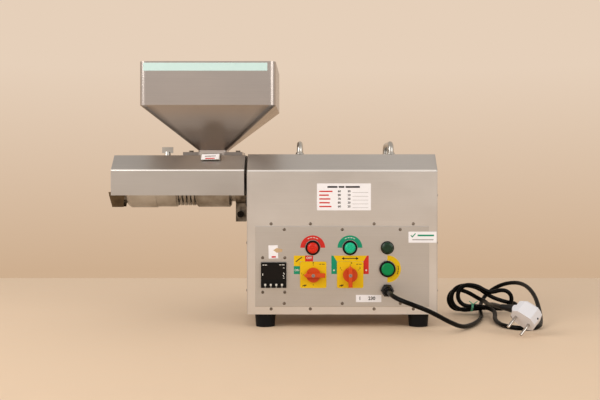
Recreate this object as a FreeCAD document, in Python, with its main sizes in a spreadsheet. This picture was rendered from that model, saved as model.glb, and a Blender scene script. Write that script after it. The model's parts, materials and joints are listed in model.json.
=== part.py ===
"""Screw oil press: a folded sheet case with a geared motor, and a heated press barrel on its left end.

Frame: millimetres, +X right, +Y away from the operator, +Z up, origin on the bench at the centre of the case.
"""
import FreeCAD, Part
import Sketcher
import math
import os

# Driving dimensions, all in millimetres unless the name says otherwise
SIZES = {
    # folded case
    "case_width": 362, "case_depth": 200, "case_bottom": 25, "case_top": 330,
    "bevel_in": 33, "bevel_down": 32, "gauge": 1.5, "end_gauge": 2, "flange_width": 13,
    "case_screw_high": 197, "case_screw_low": 35.3, "case_screw_outer": 135, "case_screw_inner": 60.5,
    "end_screw_low": 70, "end_screw_pitch": 90.5, "end_screw_inset": 7,
    "foot_x": 147, "foot_y": 78, "foot_radius": 20, "foot_recess": 7, "fold_radius": 4,
    # carrying handles
    "handle_left": -81, "handle_right": 96, "handle_centres": 116, "handle_rise": 26,
    "handle_rod": 5.75, "handle_bend": 15, "stud_radius": 3, "nut_radius": 6.5,
    # control panel
    "panel_width": 330, "panel_bottom": 39.5, "panel_top": 192.8, "panel_gauge": 1.5,
    "panel_screw_x": 110, "panel_screw_inset": 6.5, "screw_radius": 2, "head_radius": 3, "head_height": 1.6,
    "controller_x": -130, "controller_z": 100, "controller_face": 48, "controller_case": 44,
    "controller_front": 6, "controller_length": 58, "controller_screw_x": 21, "controller_screw_z": 32.7,
    "key_width": 7, "key_height": 4.5, "key_pitch": 10.5, "key_drop": 18, "key_gap": 0.3, "key_travel": 0.8,
    "heater_switch_x": -55, "direction_switch_x": 15, "switch_z": 100.5, "switch_plate": 50,
    "switch_case": 42, "switch_length": 46, "knob_radius": 13.75, "knob_base": 6, "lever_height": 12,
    "lever_point": 18, "lever_tail": 22.4, "lever_width": 7.5, "spindle_radius": 3,
    "heater_lamp_x": -56, "motor_lamp_x": 14.6, "lamp_z": 151.6, "right_column_x": 85.5,
    "lamp_bezel": 14, "lamp_barrel": 11, "lamp_lens": 10.25, "lamp_length": 28, "dome_bezel": 12.5,
    "button_z": 111.5, "button_bezel": 15.25, "button_cap": 11.65, "button_gap": 0.3, "button_travel": 4,
    "gland_z": 70.8, "gland_radius": 12.5, "gland_tail": 5.4,
    # drive
    "axis_z": 257, "shaft_radius": 15, "running_gap": 0.05,
    "lay_y": 18, "lay_drop": 67.6, "lay_radius": 8, "motor_y": 20, "motor_drop": 48.1,
    "slow_module": 2, "slow_teeth": 56, "slow_pinion_teeth": 14, "slow_width": 18,
    "fast_module": 1.25, "fast_teeth": 63, "fast_pinion_teeth": 14, "fast_width": 12,
    "gearbox_left": -176, "gearbox_right": -122, "gearbox_wall": 6, "gearbox_nose": 30, "nose_left": -188,
    "motor_flange": -116, "motor_left": -108, "motor_right": 80, "motor_radius": 56, "rib_height": 4,
    "motor_shaft": 9.5, "pinion_shaft": 5.5, "fan_cover_right": 118, "shield_length": 12,
    # press barrel, all on the screw axis
    "clamp_left": -209, "clamp_right": -189, "clamp_radius": 27, "clamp_slit": 4, "ear_width": 11,
    "ear_bottom": 197, "clamp_screw_z": 212, "neck_radius": 20, "feed_left": -286, "feed_right": -218.5,
    "feed_radius": 31, "cage_left": -325, "cage_radius": 28, "bore_radius": 21, "feed_x": -252.5,
    "mouth_half": 21, "mouth_top": 300, "slot_width": 3, "slot_pitch": 8, "slot_count": 5,
    "head_left": -366, "press_head_radius": 30.5, "band_left": -428, "band_radius": 32, "band_bore": 27,
    "flight_radius": 20.4, "flight_pitch": 22, "flight_crest": 5, "screw_shank": 11, "screw_tip": 6,
    "tang_radius": 10, "nozzle_left": -446, "nozzle_radius": 14, "nozzle_bore": 8.5, "post_x": -347,
    # cover, hopper and feed gate
    "cover_left": -439.5, "cover_right": -186.5, "cover_bottom": 251, "cover_top": 328,
    "cover_bevel_in": 32, "cover_bevel_down": 29, "notch_half": 24, "notch_top": 288,
    "hopper_x": -254.5, "hopper_width": 257, "hopper_depth": 230, "hopper_rim": 504, "hopper_fold": 421.5,
    "hopper_neck_top": 339, "hopper_neck_bottom": 335, "neck_width": 57, "neck_depth": 50,
    "flange_x": 58, "flange_y": 42, "flange_gauge": 3, "bolt_x": 47, "throat_radius": 18,
    "gate_width": 37, "gate_front": -80, "gate_back": 56, "gate_hole": 17, "gate_lip": 11.5,
    "chute_top": 256, "chute_bottom": 226, "knob_top": 346,
    # mains lead and plug
    "cord_radius": 4.3, "hank_front": 48, "hank_depth": 24, "tie_left": 271, "tie_width": 7,
    "plug_long": 46, "plug_wide": 40, "plug_deep": 32, "pin_radius": 2.6, "pin_length": 27, "pin_spacing": 26,
}

doc = FreeCAD.newDocument("OilPress")
sheet = doc.addObject("Spreadsheet::Sheet", "Sizes")
for row, (alias, number) in enumerate(SIZES.items(), 1):
    sheet.set("A%d" % row, alias)
    sheet.set("B%d" % row, str(number))
    sheet.setAlias("B%d" % row, alias)
doc.recompute()


class Size:
    """A length with both its value and the spreadsheet expression that gives it."""

    def __init__(self, value, text):
        self.value = value
        self.text = text

    def __add__(self, other):
        return combined(self, "+", other, self.value + size(other).value)

    def __sub__(self, other):
        return combined(self, "-", other, self.value - size(other).value)

    def __mul__(self, other):
        return combined(self, "*", other, self.value * size(other).value)

    def __truediv__(self, other):
        return combined(self, "/", other, self.value / size(other).value)

    def __radd__(self, other):
        return size(other) + self

    def __rsub__(self, other):
        return size(other) - self

    def __rmul__(self, other):
        return size(other) * self

    def __neg__(self):
        return size(0) - self


def size(length):
    """The length itself if it is a Size already, else a plain number as a Size."""
    if isinstance(length, Size):
        return length
    return Size(float(length), "(%.6f)" % length)


def combined(left, sign, right, value):
    return Size(value, "(%s %s %s)" % (left.text, sign, size(right).text))


class Sheet:
    """Reads the driving dimensions back from the spreadsheet by name."""

    def __getattr__(self, alias):
        return Size(float(sheet.get(alias)), "Sizes." + alias)


S = Sheet()
NODES = []

# Turns that point an object's own Z axis along each direction
AIM = {
    "X": FreeCAD.Rotation(FreeCAD.Vector(0, 1, 0), 90),
    "Y": FreeCAD.Rotation(FreeCAD.Vector(1, 0, 0), -90),
    "-Y": FreeCAD.Rotation(FreeCAD.Vector(1, 0, 0), 90),
    "Z": FreeCAD.Rotation(),
}


def put(item, x, y, z, aim="Z"):
    """Places an object, its base bound to the sheet."""
    item.Placement = FreeCAD.Placement(FreeCAD.Vector(), AIM[aim])
    for letter, length in (("x", x), ("y", y), ("z", z)):
        item.setExpression("Placement.Base." + letter, size(length).text)
    return item


def node(name, item):
    """Names a finished sub-part and puts it on the list that is written out."""
    item.Label = name
    NODES.append(item)
    return item


def box(x, y, z):
    """A block between a low and a high value along each axis."""
    block = doc.addObject("Part::Box", "block")
    for side, (low, high) in zip(("Length", "Width", "Height"), (x, y, z)):
        block.setExpression(side, (size(high) - low).text)
    return put(block, x[0], y[0], z[0])


def axis_of(x, y, z):
    """Which of three places is a span, as the axis, start and length of a round piece."""
    aim, span = [(a, v) for a, v in zip("XYZ", (x, y, z)) if isinstance(v, tuple)][0]
    start = [v[0] if isinstance(v, tuple) else v for v in (x, y, z)]
    return aim, start, size(span[1]) - span[0]


def rod(x, y, z, radius):
    """A cylinder along the axis whose place is given as a span."""
    aim, start, length = axis_of(x, y, z)
    item = doc.addObject("Part::Cylinder", "rod")
    item.setExpression("Radius", size(radius).text)
    item.setExpression("Height", length.text)
    return put(item, *start, aim)


def taper(x, y, z, first, last):
    """A cone frustum along the axis whose place is given as a span."""
    aim, start, length = axis_of(x, y, z)
    item = doc.addObject("Part::Cone", "taper")
    item.setExpression("Radius1", size(first).text)
    item.setExpression("Radius2", size(last).text)
    item.setExpression("Height", length.text)
    return put(item, *start, aim)


def hexagon(x, y, z, circumradius):
    """A six-sided prism along the axis whose place is given as a span."""
    aim, start, length = axis_of(x, y, z)
    item = doc.addObject("Part::Prism", "hexagon")
    item.Polygon = 6
    item.setExpression("Circumradius", size(circumradius).text)
    item.setExpression("Height", length.text)
    return put(item, *start, aim)


def fuse(*items):
    if len(items) == 1:
        return items[0]
    joined = doc.addObject("Part::MultiFuse", "joined")
    joined.Shapes = list(items)
    joined.Refine = True
    return joined


def cut(base, *tools):
    result = doc.addObject("Part::Cut", "trimmed")
    result.Base = base
    result.Tool = fuse(*tools)
    result.Refine = True
    return result


def group(items):
    """Several separate solids as one sub-part."""
    together = doc.addObject("Part::Compound", "set")
    together.Links = items
    return together


def blank(name, x=0, y=0, z=0, aim="Z"):
    """An empty body that another piece will be joined to or grouped with."""
    return put(doc.addObject("PartDesign::Body", name), x, y, z, aim)


def body(name, x=0, y=0, z=0, aim="Z"):
    """An empty body that is a sub-part by itself."""
    return node(name, blank(name, x, y, z, aim))


def sketch_on(part, plane, lift):
    """An empty sketch on one of the body's own planes, lifted along the plane's normal."""
    sketch = part.newObject("Sketcher::SketchObject", "sketch")
    support = [item for item in part.Origin.OriginFeatures if item.Role == plane + "_Plane"][0]
    sketch.AttachmentSupport = (support, [""])
    sketch.MapMode = "FlatFace"
    sketch.setExpression("AttachmentOffset.Base.z", size(lift).text)
    return sketch


def pin(sketch, geometry, point, x, y):
    """Fixes one point of a sketch by two distances that are bound to the sheet."""
    for kind, letter, length in (("DistanceX", "across", x), ("DistanceY", "up", y)):
        index = sketch.addConstraint(Sketcher.Constraint(kind, -1, 1, geometry, point, size(length).value))
        name = "%s%d_%d" % (letter, geometry, point)
        sketch.renameConstraint(index, name)
        sketch.setExpression("Constraints." + name, size(length).text)


def polygon(part, plane, *outlines, lift=0):
    """A sketch of one or more closed outlines, each a list of corner points."""
    sketch = sketch_on(part, plane, lift)
    for points in outlines:
        first = sketch.GeometryCount
        corners = [FreeCAD.Vector(size(x).value, size(y).value, 0) for x, y in points]
        for start, end in zip(corners, corners[1:] + corners[:1]):
            sketch.addGeometry(Part.LineSegment(start, end))
        count = len(points)
        for i in range(count):
            joint = Sketcher.Constraint("Coincident", first + i, 2, first + (i + 1) % count, 1)
            sketch.addConstraint(joint)
        for i, (x, y) in enumerate(points):
            pin(sketch, first + i, 1, x, y)
    return sketch


def circles(part, plane, radius, centres, lift=0):
    """A sketch of equal circles."""
    sketch = sketch_on(part, plane, lift)
    for x, y in centres:
        centre = FreeCAD.Vector(size(x).value, size(y).value, 0)
        circle = Part.Circle(centre, FreeCAD.Vector(0, 0, 1), size(radius).value)
        geometry = sketch.addGeometry(circle)
        index = sketch.addConstraint(Sketcher.Constraint("Radius", geometry, size(radius).value))
        name = "radius%d" % geometry
        sketch.renameConstraint(index, name)
        sketch.setExpression("Constraints." + name, size(radius).text)
        pin(sketch, geometry, 3, x, y)
    return sketch


def oblong(x, y):
    """Corner points of a rectangle between low and high values."""
    return [(x[0], y[0]), (x[1], y[0]), (x[1], y[1]), (x[0], y[1])]


def pad(part, sketch, length, midplane=False):
    feature = part.newObject("PartDesign::Pad", "pad")
    feature.Profile = sketch
    feature.setExpression("Length", size(length).text)
    feature.Midplane = midplane
    return feature


def pocket(part, sketch, length, forward=False):
    """Cuts against the sketch plane's normal, or along it when forward."""
    feature = part.newObject("PartDesign::Pocket", "pocket")
    feature.Profile = sketch
    feature.setExpression("Length", size(length).text)
    feature.Reversed = forward
    doc.recompute()
    return feature


def turned(part, sketch, axis="V_Axis"):
    feature = part.newObject("PartDesign::Revolution", "turned")
    feature.Profile = sketch
    feature.ReferenceAxis = (sketch, [axis])
    return feature


def edges_where(part, wanted):
    """Names of the edges of a body's present shape whose middle and direction satisfy a test."""
    doc.recompute()
    names = []
    for number, edge in enumerate(part.Shape.Edges, 1):
        middle = edge.valueAt((edge.FirstParameter + edge.LastParameter) / 2)
        middle = part.Placement.inverse().multVec(middle)
        if wanted(edge, middle):
            names.append("Edge%d" % number)
    return names


def rounded(part, radius, wanted):
    names = edges_where(part, wanted)
    base = part.Tip
    feature = part.newObject("PartDesign::Fillet", "rounding")
    feature.Base = (base, names)
    feature.setExpression("Radius", size(radius).text)
    return feature


def bevelled(part, width, wanted):
    names = edges_where(part, wanted)
    base = part.Tip
    feature = part.newObject("PartDesign::Chamfer", "bevel")
    feature.Base = (base, names)
    feature.setExpression("Size", size(width).text)
    return feature


HALF = S.case_width / 2
FRONT = -(S.case_depth / 2)
BACK = S.case_depth / 2
PANEL_FACE = FRONT - S.panel_gauge
CASE_SCREWS = [(side * at, level) for level in (S.case_screw_high, S.case_screw_low)
               for at in (S.case_screw_outer, S.case_screw_inner) for side in (-1, 1)]
END_SCREWS = [(side * (BACK - S.end_screw_inset), S.end_screw_low + step * S.end_screw_pitch)
              for side in (-1, 1) for step in range(3)]
PANEL_SCREWS = [(step * S.panel_screw_x, level)
                for level in (S.panel_bottom + S.panel_screw_inset, S.panel_top - S.panel_screw_inset)
                for step in (-1, 0, 1)]
CONTROLLER_SCREWS = [(S.controller_x + i * S.controller_screw_x, S.controller_z + j * S.controller_screw_z)
                     for i in (-1, 1) for j in (-1, 1)]


def wrap_outline(half_depth, bottom, top, bevel_in, bevel_down, inset):
    """The folded wall's section seen from the end, moved inwards by inset."""
    slip = inset * 0.41
    right = half_depth - inset
    shoulder = top - bevel_down - slip
    roof = half_depth - bevel_in - slip
    return [(right, bottom), (right, shoulder), (roof, top - inset),
            (-roof, top - inset), (-right, shoulder), (-right, bottom)]


def long_fold(edge, middle, y, z):
    """Whether an edge runs along X at a fold of the wrapped sheet, on either side of the middle."""
    along = isinstance(edge.Curve, Part.Line) and abs(edge.tangentAt(edge.FirstParameter).x) > 0.999
    return along and abs(abs(middle.y) - size(y).value) < 0.01 and abs(middle.z - size(z).value) < 0.01


def round_folds(part, outlines):
    """Gives the outer and inner faces of each fold their bending radii."""
    for radius, outline in outlines:
        places = [(outline[1][0], outline[1][1]), (outline[2][0], outline[2][1])]
        rounded(part, radius, lambda edge, middle: any(long_fold(edge, middle, y, z) for y, z in places))


def case_wrap(inset):
    return wrap_outline(BACK, S.case_bottom, S.case_top, S.bevel_in, S.bevel_down, inset)


def case_shell():
    """Front, top and back folded from one sheet, with inner flanges that the end plates screw to."""
    shell = body("case_shell")
    section = case_wrap(0) + case_wrap(S.gauge)[::-1]
    inner = HALF - S.end_gauge
    pad(shell, polygon(shell, "YZ", section), inner * 2, midplane=True)
    round_folds(shell, [(S.fold_radius, case_wrap(0)), (S.fold_radius - S.gauge, case_wrap(S.gauge))])
    low = S.case_bottom + 25
    high = S.case_top - S.bevel_down - 8
    edge = BACK - S.gauge
    flanges = [oblong((side * edge, side * (edge - S.flange_width)), (low, high)) for side in (-1, 1)]
    for lift in (inner - S.gauge, -inner):
        pad(shell, polygon(shell, "YZ", *flanges, lift=lift), S.gauge)
    window = oblong((-(S.panel_width / 2) + 12, S.panel_width / 2 - 12),
                    (S.panel_bottom + 15, S.panel_top - 15))
    pocket(shell, polygon(shell, "XZ", window, lift=BACK + 1), 5)
    for lift in (BACK + 1, 5 - BACK):
        pocket(shell, circles(shell, "XZ", S.screw_radius, CASE_SCREWS, lift=lift), 6)
    pocket(shell, circles(shell, "XZ", S.screw_radius, PANEL_SCREWS, lift=BACK + 1), 6)
    for lift in (inner + 1, 4 - inner):
        pocket(shell, circles(shell, "YZ", S.screw_radius, END_SCREWS, lift=lift), 5)
    studs = [(x, side * S.handle_centres / 2) for x in (S.handle_left, S.handle_right) for side in (-1, 1)]
    pocket(shell, circles(shell, "XY", S.stud_radius, studs, lift=S.case_top + 1), 6)


def base_plate():
    """Tray folded up at the front and back inside the shell."""
    tray = body("base_plate")
    outer = BACK - S.gauge
    lip = S.case_bottom + 22
    floor = S.case_bottom + S.gauge
    section = [(-outer, S.case_bottom), (outer, S.case_bottom), (outer, lip), (outer - S.gauge, lip),
               (outer - S.gauge, floor), (S.gauge - outer, floor), (S.gauge - outer, lip), (-outer, lip)]
    pad(tray, polygon(tray, "YZ", section), (HALF - S.end_gauge) * 2, midplane=True)
    low_screws = [place for place in CASE_SCREWS if place[1].text == S.case_screw_low.text]
    for lift in (BACK, 5 - BACK):
        pocket(tray, circles(tray, "XZ", S.screw_radius, low_screws, lift=lift), 5)
    feet = [(i * S.foot_x, j * S.foot_y) for i in (-1, 1) for j in (-1, 1)]
    pocket(tray, circles(tray, "XY", S.screw_radius, feet, lift=floor + 1), 4)


def stiffening_rails():
    """Angle bars behind the front and back sheets, which take the upper case screws."""
    rails = []
    high_screws = [place[0] for place in CASE_SCREWS if place[1].text == S.case_screw_high.text]
    span = (12 - HALF, HALF - 12)
    for side in (-1, 1):
        face = side * (BACK - S.gauge)
        inner = face - side * S.gauge
        low, high = S.case_screw_high - 3, S.case_screw_high + 12
        web = box(span, (face, inner) if side < 0 else (inner, face), (low, high))
        lip = face - side * 12
        shelf = box(span, (inner, lip) if side < 0 else (lip, inner), (high - S.gauge, high))
        holes = [rod(x, (face, inner) if side < 0 else (inner, face), S.case_screw_high, S.screw_radius)
                 for x in high_screws]
        rails.append(cut(fuse(web, shelf), *holes))
    node("stiffening_rails", group(rails))


def end_plates():
    """Flat ends, the left one open round the gearbox nose and the right one louvred for the motor."""
    for name, lift in (("left_end_plate", -HALF), ("right_end_plate", HALF - S.end_gauge)):
        plate = body(name)
        pad(plate, polygon(plate, "YZ", case_wrap(0), lift=lift), S.end_gauge)
        round_folds(plate, [(S.fold_radius, case_wrap(0))])
        pocket(plate, circles(plate, "YZ", S.screw_radius, END_SCREWS, lift=lift + S.end_gauge + 1), 5)
        if name.startswith("left"):
            nose = circles(plate, "YZ", S.gearbox_nose + 1, [(0, S.axis_z)], lift=lift + S.end_gauge + 1)
            pocket(plate, nose, 5)
        else:
            slots = [oblong((-48, 48), (S.axis_z - 160 + 16 * step, S.axis_z - 156 + 16 * step))
                     for step in range(8)]
            pocket(plate, polygon(plate, "YZ", *slots, lift=lift + S.end_gauge + 1), 5)


def screw(x, y, z, toward, length):
    """A pan-head screw on the surface at its place, its head standing out toward a signed axis."""
    sign = -1 if toward[0] == "-" else 1
    places = {"X": x, "Y": y, "Z": z}
    axis = toward[-1]
    face = places[axis]
    spans = [(face, face + sign * S.head_height), (face - sign * length, face)]
    spans = [span if sign > 0 else span[::-1] for span in spans]
    if sign < 0:
        spans[1] = (face, face + length)
    head_place = dict(places, **{axis: spans[0]})
    shank_place = dict(places, **{axis: spans[1]})
    radii = (S.head_radius, S.head_radius * 0.62) if sign > 0 else (S.head_radius * 0.62, S.head_radius)
    head = taper(head_place["X"], head_place["Y"], head_place["Z"], *radii)
    shank = rod(shank_place["X"], shank_place["Y"], shank_place["Z"], S.screw_radius)
    return fuse(head, shank)


def case_fasteners():
    front = [screw(x, FRONT, z, "-Y", 3) for x, z in CASE_SCREWS]
    back = [screw(x, BACK, z, "Y", 3) for x, z in CASE_SCREWS]
    ends = [screw(HALF, y, z, "X", 3.5) for y, z in END_SCREWS]
    ends += [screw(-HALF, y, z, "-X", 3.5) for y, z in END_SCREWS]
    node("case_screws", group(front + back + ends))
    places = PANEL_SCREWS + CONTROLLER_SCREWS
    node("panel_screws", group([screw(x, PANEL_FACE, z, "-Y", S.panel_gauge) for x, z in places]))


def feet():
    """Four tapered rubber feet, each with a recess and a stem that snaps into the tray."""
    pads = []
    for i in (-1, 1):
        for j in (-1, 1):
            x, y = i * S.foot_x, j * S.foot_y
            foot = taper(x, y, (0, S.case_bottom), S.foot_radius - 2, S.foot_radius)
            stem = rod(x, y, (S.case_bottom, S.case_bottom + S.gauge + 2), S.screw_radius)
            pads.append(cut(fuse(foot, stem), rod(x, y, (0, S.foot_recess), S.head_radius + 1)))
    node("rubber_feet", group(pads))


def carry_handle(name, x):
    """A bent round bar standing on two collars, with studs through the roof."""
    half = S.handle_centres / 2
    top = S.case_top + S.handle_rise - S.handle_rod
    low = top - S.handle_bend
    straight = half - S.handle_bend
    pieces = [rod(x, (-straight, straight), top, S.handle_rod)]
    for side in (-1, 1):
        y = side * half
        pieces.append(rod(x, y, (S.case_top, low), S.handle_rod))
        pieces.append(taper(x, y, (S.case_top, S.case_top + 4), S.handle_rod + 3, S.handle_rod + 1))
        pieces.append(rod(x, y, (S.case_top - 9, S.case_top), S.stud_radius))
        bend = doc.addObject("Part::Torus", "bend")
        bend.setExpression("Radius1", S.handle_bend.text)
        bend.setExpression("Radius2", S.handle_rod.text)
        bend.Angle3 = 90
        put(bend, x, side * straight, low)
        turn = FreeCAD.Rotation(FreeCAD.Vector(0, 0, 1), 90) if side > 0 else FreeCAD.Rotation(
            FreeCAD.Vector(0, 0, 1), -90)
        bend.Placement.Rotation = turn * FreeCAD.Rotation(FreeCAD.Vector(1, 0, 0), 90)
        pieces.append(bend)
        pieces.append(hexagon(x, y, (S.case_top - S.gauge - 5, S.case_top - S.gauge), S.nut_radius))
    node(name, fuse(*pieces))


def handles():
    carry_handle("left_carry_handle", S.handle_left)
    carry_handle("right_carry_handle", S.handle_right)


def control_panel():
    """Instrument plate with a cut-out for each device that passes through it."""
    plate = body("control_panel")
    outline = oblong((-(S.panel_width / 2), S.panel_width / 2), (S.panel_bottom, S.panel_top))
    pad(plate, polygon(plate, "XZ", outline, lift=BACK), S.panel_gauge)
    rounded(plate, S.panel_gauge / 2, lambda edge, middle: abs(middle.y - PANEL_FACE.value) < 0.01)
    lift = BACK + S.panel_gauge + 1
    half = S.controller_case / 2
    cutout = oblong((S.controller_x - half, S.controller_x + half),
                    (S.controller_z - half, S.controller_z + half))
    pocket(plate, polygon(plate, "XZ", cutout, lift=lift), 5)
    lamps = [(S.heater_lamp_x, S.lamp_z), (S.motor_lamp_x, S.lamp_z), (S.right_column_x, S.lamp_z),
             (S.right_column_x, S.button_z), (S.right_column_x, S.gland_z)]
    pocket(plate, circles(plate, "XZ", S.lamp_barrel, lamps, lift=lift), 5)
    spindles = [(S.heater_switch_x, S.switch_z), (S.direction_switch_x, S.switch_z)]
    pocket(plate, circles(plate, "XZ", S.spindle_radius + 1, spindles, lift=lift), 5)
    pocket(plate, circles(plate, "XZ", S.screw_radius, PANEL_SCREWS + CONTROLLER_SCREWS, lift=lift), 5)


def controller():
    """Square temperature controller with a display window and four keys under it."""
    x, y, z = S.controller_x, PANEL_FACE, S.controller_z
    face = S.controller_face / 2
    rear = S.controller_case / 2
    front = y - S.controller_front
    shell = fuse(box((x - face, x + face), (front, y), (z - face, z + face)),
                 box((x - rear, x + rear), (y, y + S.controller_length), (z - rear, z + rear)))
    window = [(x - 20, x + 20), (front, front + 1.2), (z - 8, z + 20)]
    cuts = [box(*window)]
    for number in range(4):
        key_x = x + (number - 1.5) * S.key_pitch
        half_width = S.key_width / 2
        half_height = S.key_height / 2
        key_z = z - S.key_drop
        gap = S.key_gap
        cuts.append(box((key_x - half_width - gap, key_x + half_width + gap), (front, front + 4),
                        (key_z - half_height - gap, key_z + half_height + gap)))
        key = box((key_x - half_width, key_x + half_width), (front - 1, front + 4 - S.key_travel - 0.3),
                  (key_z - half_height, key_z + half_height))
        node("controller_key_%d" % (number + 1), key)
    node("controller_body", cut(shell, *cuts))
    node("controller_window", box(*window))


def cam_switch(name, x, pointing):
    """Rotary cam switch: square plate, contact block behind the panel and an arrow lever."""
    z = S.switch_z
    half = S.switch_plate / 2
    plate = blank(name + "_plate", x, PANEL_FACE, z, "-Y")
    pad(plate, polygon(plate, "XY", oblong((-half, half), (-half, half))), 2.5)
    rounded(plate, 3, lambda edge, middle: abs(abs(middle.x) - half.value) < 0.01
            and abs(abs(middle.y) - half.value) < 0.01)
    doc.recompute()
    pocket(plate, circles(plate, "XY", S.spindle_radius + 0.5, [(0, 0)], lift=4), 6)
    half = S.switch_case / 2
    block = box((x - half, x + half), (FRONT, FRONT + S.switch_length), (z - half, z + half))
    block = cut(block, rod(x, (FRONT, FRONT + 13), z, S.spindle_radius + S.running_gap))
    knob = body(name + "_knob", x, PANEL_FACE - 2.8, z, "-Y")
    knob.Placement.Rotation = AIM["-Y"] * FreeCAD.Rotation(FreeCAD.Vector(0, 0, 1), pointing)
    pad(knob, circles(knob, "XY", S.knob_radius, [(0, 0)]), S.knob_base)
    wide = S.lever_width / 2
    arrow = [(-wide, -S.lever_tail), (wide, -S.lever_tail), (wide, S.lever_point - 7),
             (wide + 2, S.lever_point - 7),
             (0, S.lever_point), (-wide - 2, S.lever_point - 7), (-wide, S.lever_point - 7)]
    pad(knob, polygon(knob, "XY", arrow, lift=S.knob_base - 2), S.lever_height)
    pad(knob, circles(knob, "XY", S.spindle_radius, [(0, 0)], lift=-13), 13)
    level = S.knob_base.value + S.lever_height.value - 2
    bevelled(knob, 1, lambda edge, middle: abs(middle.z - level) < 0.01)
    return plate, block


def lamp(name, x, bezel, lens):
    """Pilot lamp: flanged bezel with its barrel through the panel, and a domed lens set into it."""
    z = S.lamp_z
    ring = blank(name + "_bezel", x, PANEL_FACE, z, "-Y")
    rear, depth = S.lamp_barrel, S.lamp_length
    profile = [(0, -depth), (rear, -depth), (rear, 0), (bezel, 0), (bezel, 2.5), (bezel - 1.2, 4),
               (lens, 4), (lens, 1), (0, 1)]
    turned(ring, polygon(ring, "XZ", profile))
    dome = body(name + "_lens", x, PANEL_FACE, z, "-Y")
    pad(dome, circles(dome, "XY", lens, [(0, 0)], lift=1), 9)
    rounded(dome, 5, lambda edge, middle: middle.z > 9.9)
    return ring


def reset_button():
    """Sprung push button in a collar."""
    z = S.button_z
    ring = body("reset_button_bezel", S.right_column_x, PANEL_FACE, z, "-Y")
    outer, bore, rear = S.button_bezel, S.button_cap + S.button_gap, S.lamp_barrel
    deep = S.button_travel + 4
    neck = rear - 2
    profile = [(0, -30), (rear, -30), (rear, 0), (outer, 0), (outer, 5), (outer - 1.5, 6.5), (bore, 6.5),
               (bore, 0.5), (neck, 0.5), (neck, -deep), (0, -deep)]
    turned(ring, polygon(ring, "XZ", profile))
    cap = body("reset_button_cap", S.right_column_x, PANEL_FACE, z, "-Y")
    stem = neck - S.button_gap
    low = S.button_travel + 0.8
    shape = [(0, -3.5), (stem, -3.5), (stem, low), (S.button_cap, low), (S.button_cap, 9),
             (S.button_cap - 2, 10.5),
             (0, 10.5)]
    turned(cap, polygon(cap, "XZ", shape))


def cable_gland():
    """Hexagon body and domed nut outside the panel with a ribbed tail, and a locknut behind it."""
    x, z, y = S.right_column_x, S.gland_z, PANEL_FACE
    flats = hexagon(x, (y - 7, y), z, S.gland_radius)
    dome = taper(x, (y - 17, y - 7), z, S.gland_radius * 0.68, S.gland_radius * 0.9)
    tail = taper(x, (y - 32, y - 17), z, S.gland_tail, S.gland_tail + 1.6)
    ribs = [rod(x, (y - 30 + 3.5 * step, y - 28.4 + 3.5 * step), z, S.gland_tail + 1.3) for step in range(4)]
    barrel = rod(x, (y, FRONT + 12), z, S.lamp_barrel)
    locknut = hexagon(x, (FRONT + 2, FRONT + 8), z, S.gland_radius + 3)
    node("cable_gland", fuse(flats, dome, tail, barrel, locknut, *ribs))


def controls():
    control_panel()
    controller()
    heater_plate, heater_block = cam_switch("heater_switch", S.heater_switch_x, 90)
    direction_plate, direction_block = cam_switch("direction_switch", S.direction_switch_x, 0)
    node("switch_plates", group([heater_plate, direction_plate]))
    node("switch_blocks", group([heater_block, direction_block]))
    bezels = [lamp("heater_lamp", S.heater_lamp_x, S.lamp_bezel, S.lamp_lens),
              lamp("motor_lamp", S.motor_lamp_x, S.lamp_bezel, S.lamp_lens),
              lamp("power_lamp", S.right_column_x, S.dome_bezel, S.dome_bezel - 1.5)]
    node("lamp_bezels", group(bezels))
    reset_button()
    cable_gland()


def involute(base, radius):
    """Angle that an involute of a base circle has unwound to at a radius."""
    if radius <= base:
        return 0.0
    stretch = math.sqrt((radius / base) ** 2 - 1)
    return stretch - math.atan(stretch)


def gear(module, teeth, width, left, y, z, bore, first_angle, slack=0.16):
    """A spur gear with short, slightly thinned involute teeth, as a solid along X from its left face."""
    module, teeth, width = module.value, round(teeth.value), width.value
    pitch = module * teeth / 2
    base = pitch * math.cos(math.radians(20))
    root, tip = pitch - 1.2 * module, pitch + 0.9 * module
    thick = (math.pi / 2 - slack) / teeth + involute(base, pitch)
    levels = [root, max(root, base) + 0.02 * module, pitch, tip]
    points = []
    for number in range(teeth):
        middle = first_angle + 2 * math.pi * number / teeth
        flank = [(radius, max(thick - involute(base, radius), 0.1 / teeth)) for radius in levels]
        for radius, half in flank:
            points.append((radius, middle - half))
        for radius, half in reversed(flank):
            points.append((radius, middle + half))
    corners = [FreeCAD.Vector(0, radius * math.cos(angle), radius * math.sin(angle))
               for radius, angle in points]
    face = Part.Face(Part.makePolygon(corners + corners[:1]))
    solid = face.extrude(FreeCAD.Vector(width, 0, 0))
    if bore:
        hole = Part.makeCylinder(bore.value, width, FreeCAD.Vector(), FreeCAD.Vector(1, 0, 0))
        solid = solid.cut(hole)
    item = doc.addObject("Part::Feature", "gear")
    item.Shape = solid
    return put(item, left, y, z)


LAY_Z = S.axis_z - S.lay_drop
MOTOR_Z = LAY_Z - S.motor_drop
SLOW_LEFT = S.gearbox_left + S.gearbox_wall + 4
FAST_LEFT = SLOW_LEFT + S.slow_width + 6


def mesh_angles():
    """Angles of a tooth on each gear that let all four mesh, worked out from the lines of centres."""
    lay_y, lay_drop = S.lay_y.value, S.lay_drop.value
    motor_y, motor_drop = S.motor_y.value, S.motor_drop.value
    slow, pinion = S.slow_teeth.value, S.slow_pinion_teeth.value
    fast, driver = S.fast_teeth.value, S.fast_pinion_teeth.value
    down = math.atan2(-lay_drop, lay_y)
    output = down
    lay_pinion = down + math.pi + math.pi / pinion
    line = math.atan2(-motor_drop, motor_y - lay_y)
    lay_gear = line
    motor = line + math.pi + math.pi / driver
    return output, lay_pinion, lay_gear, motor


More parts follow.
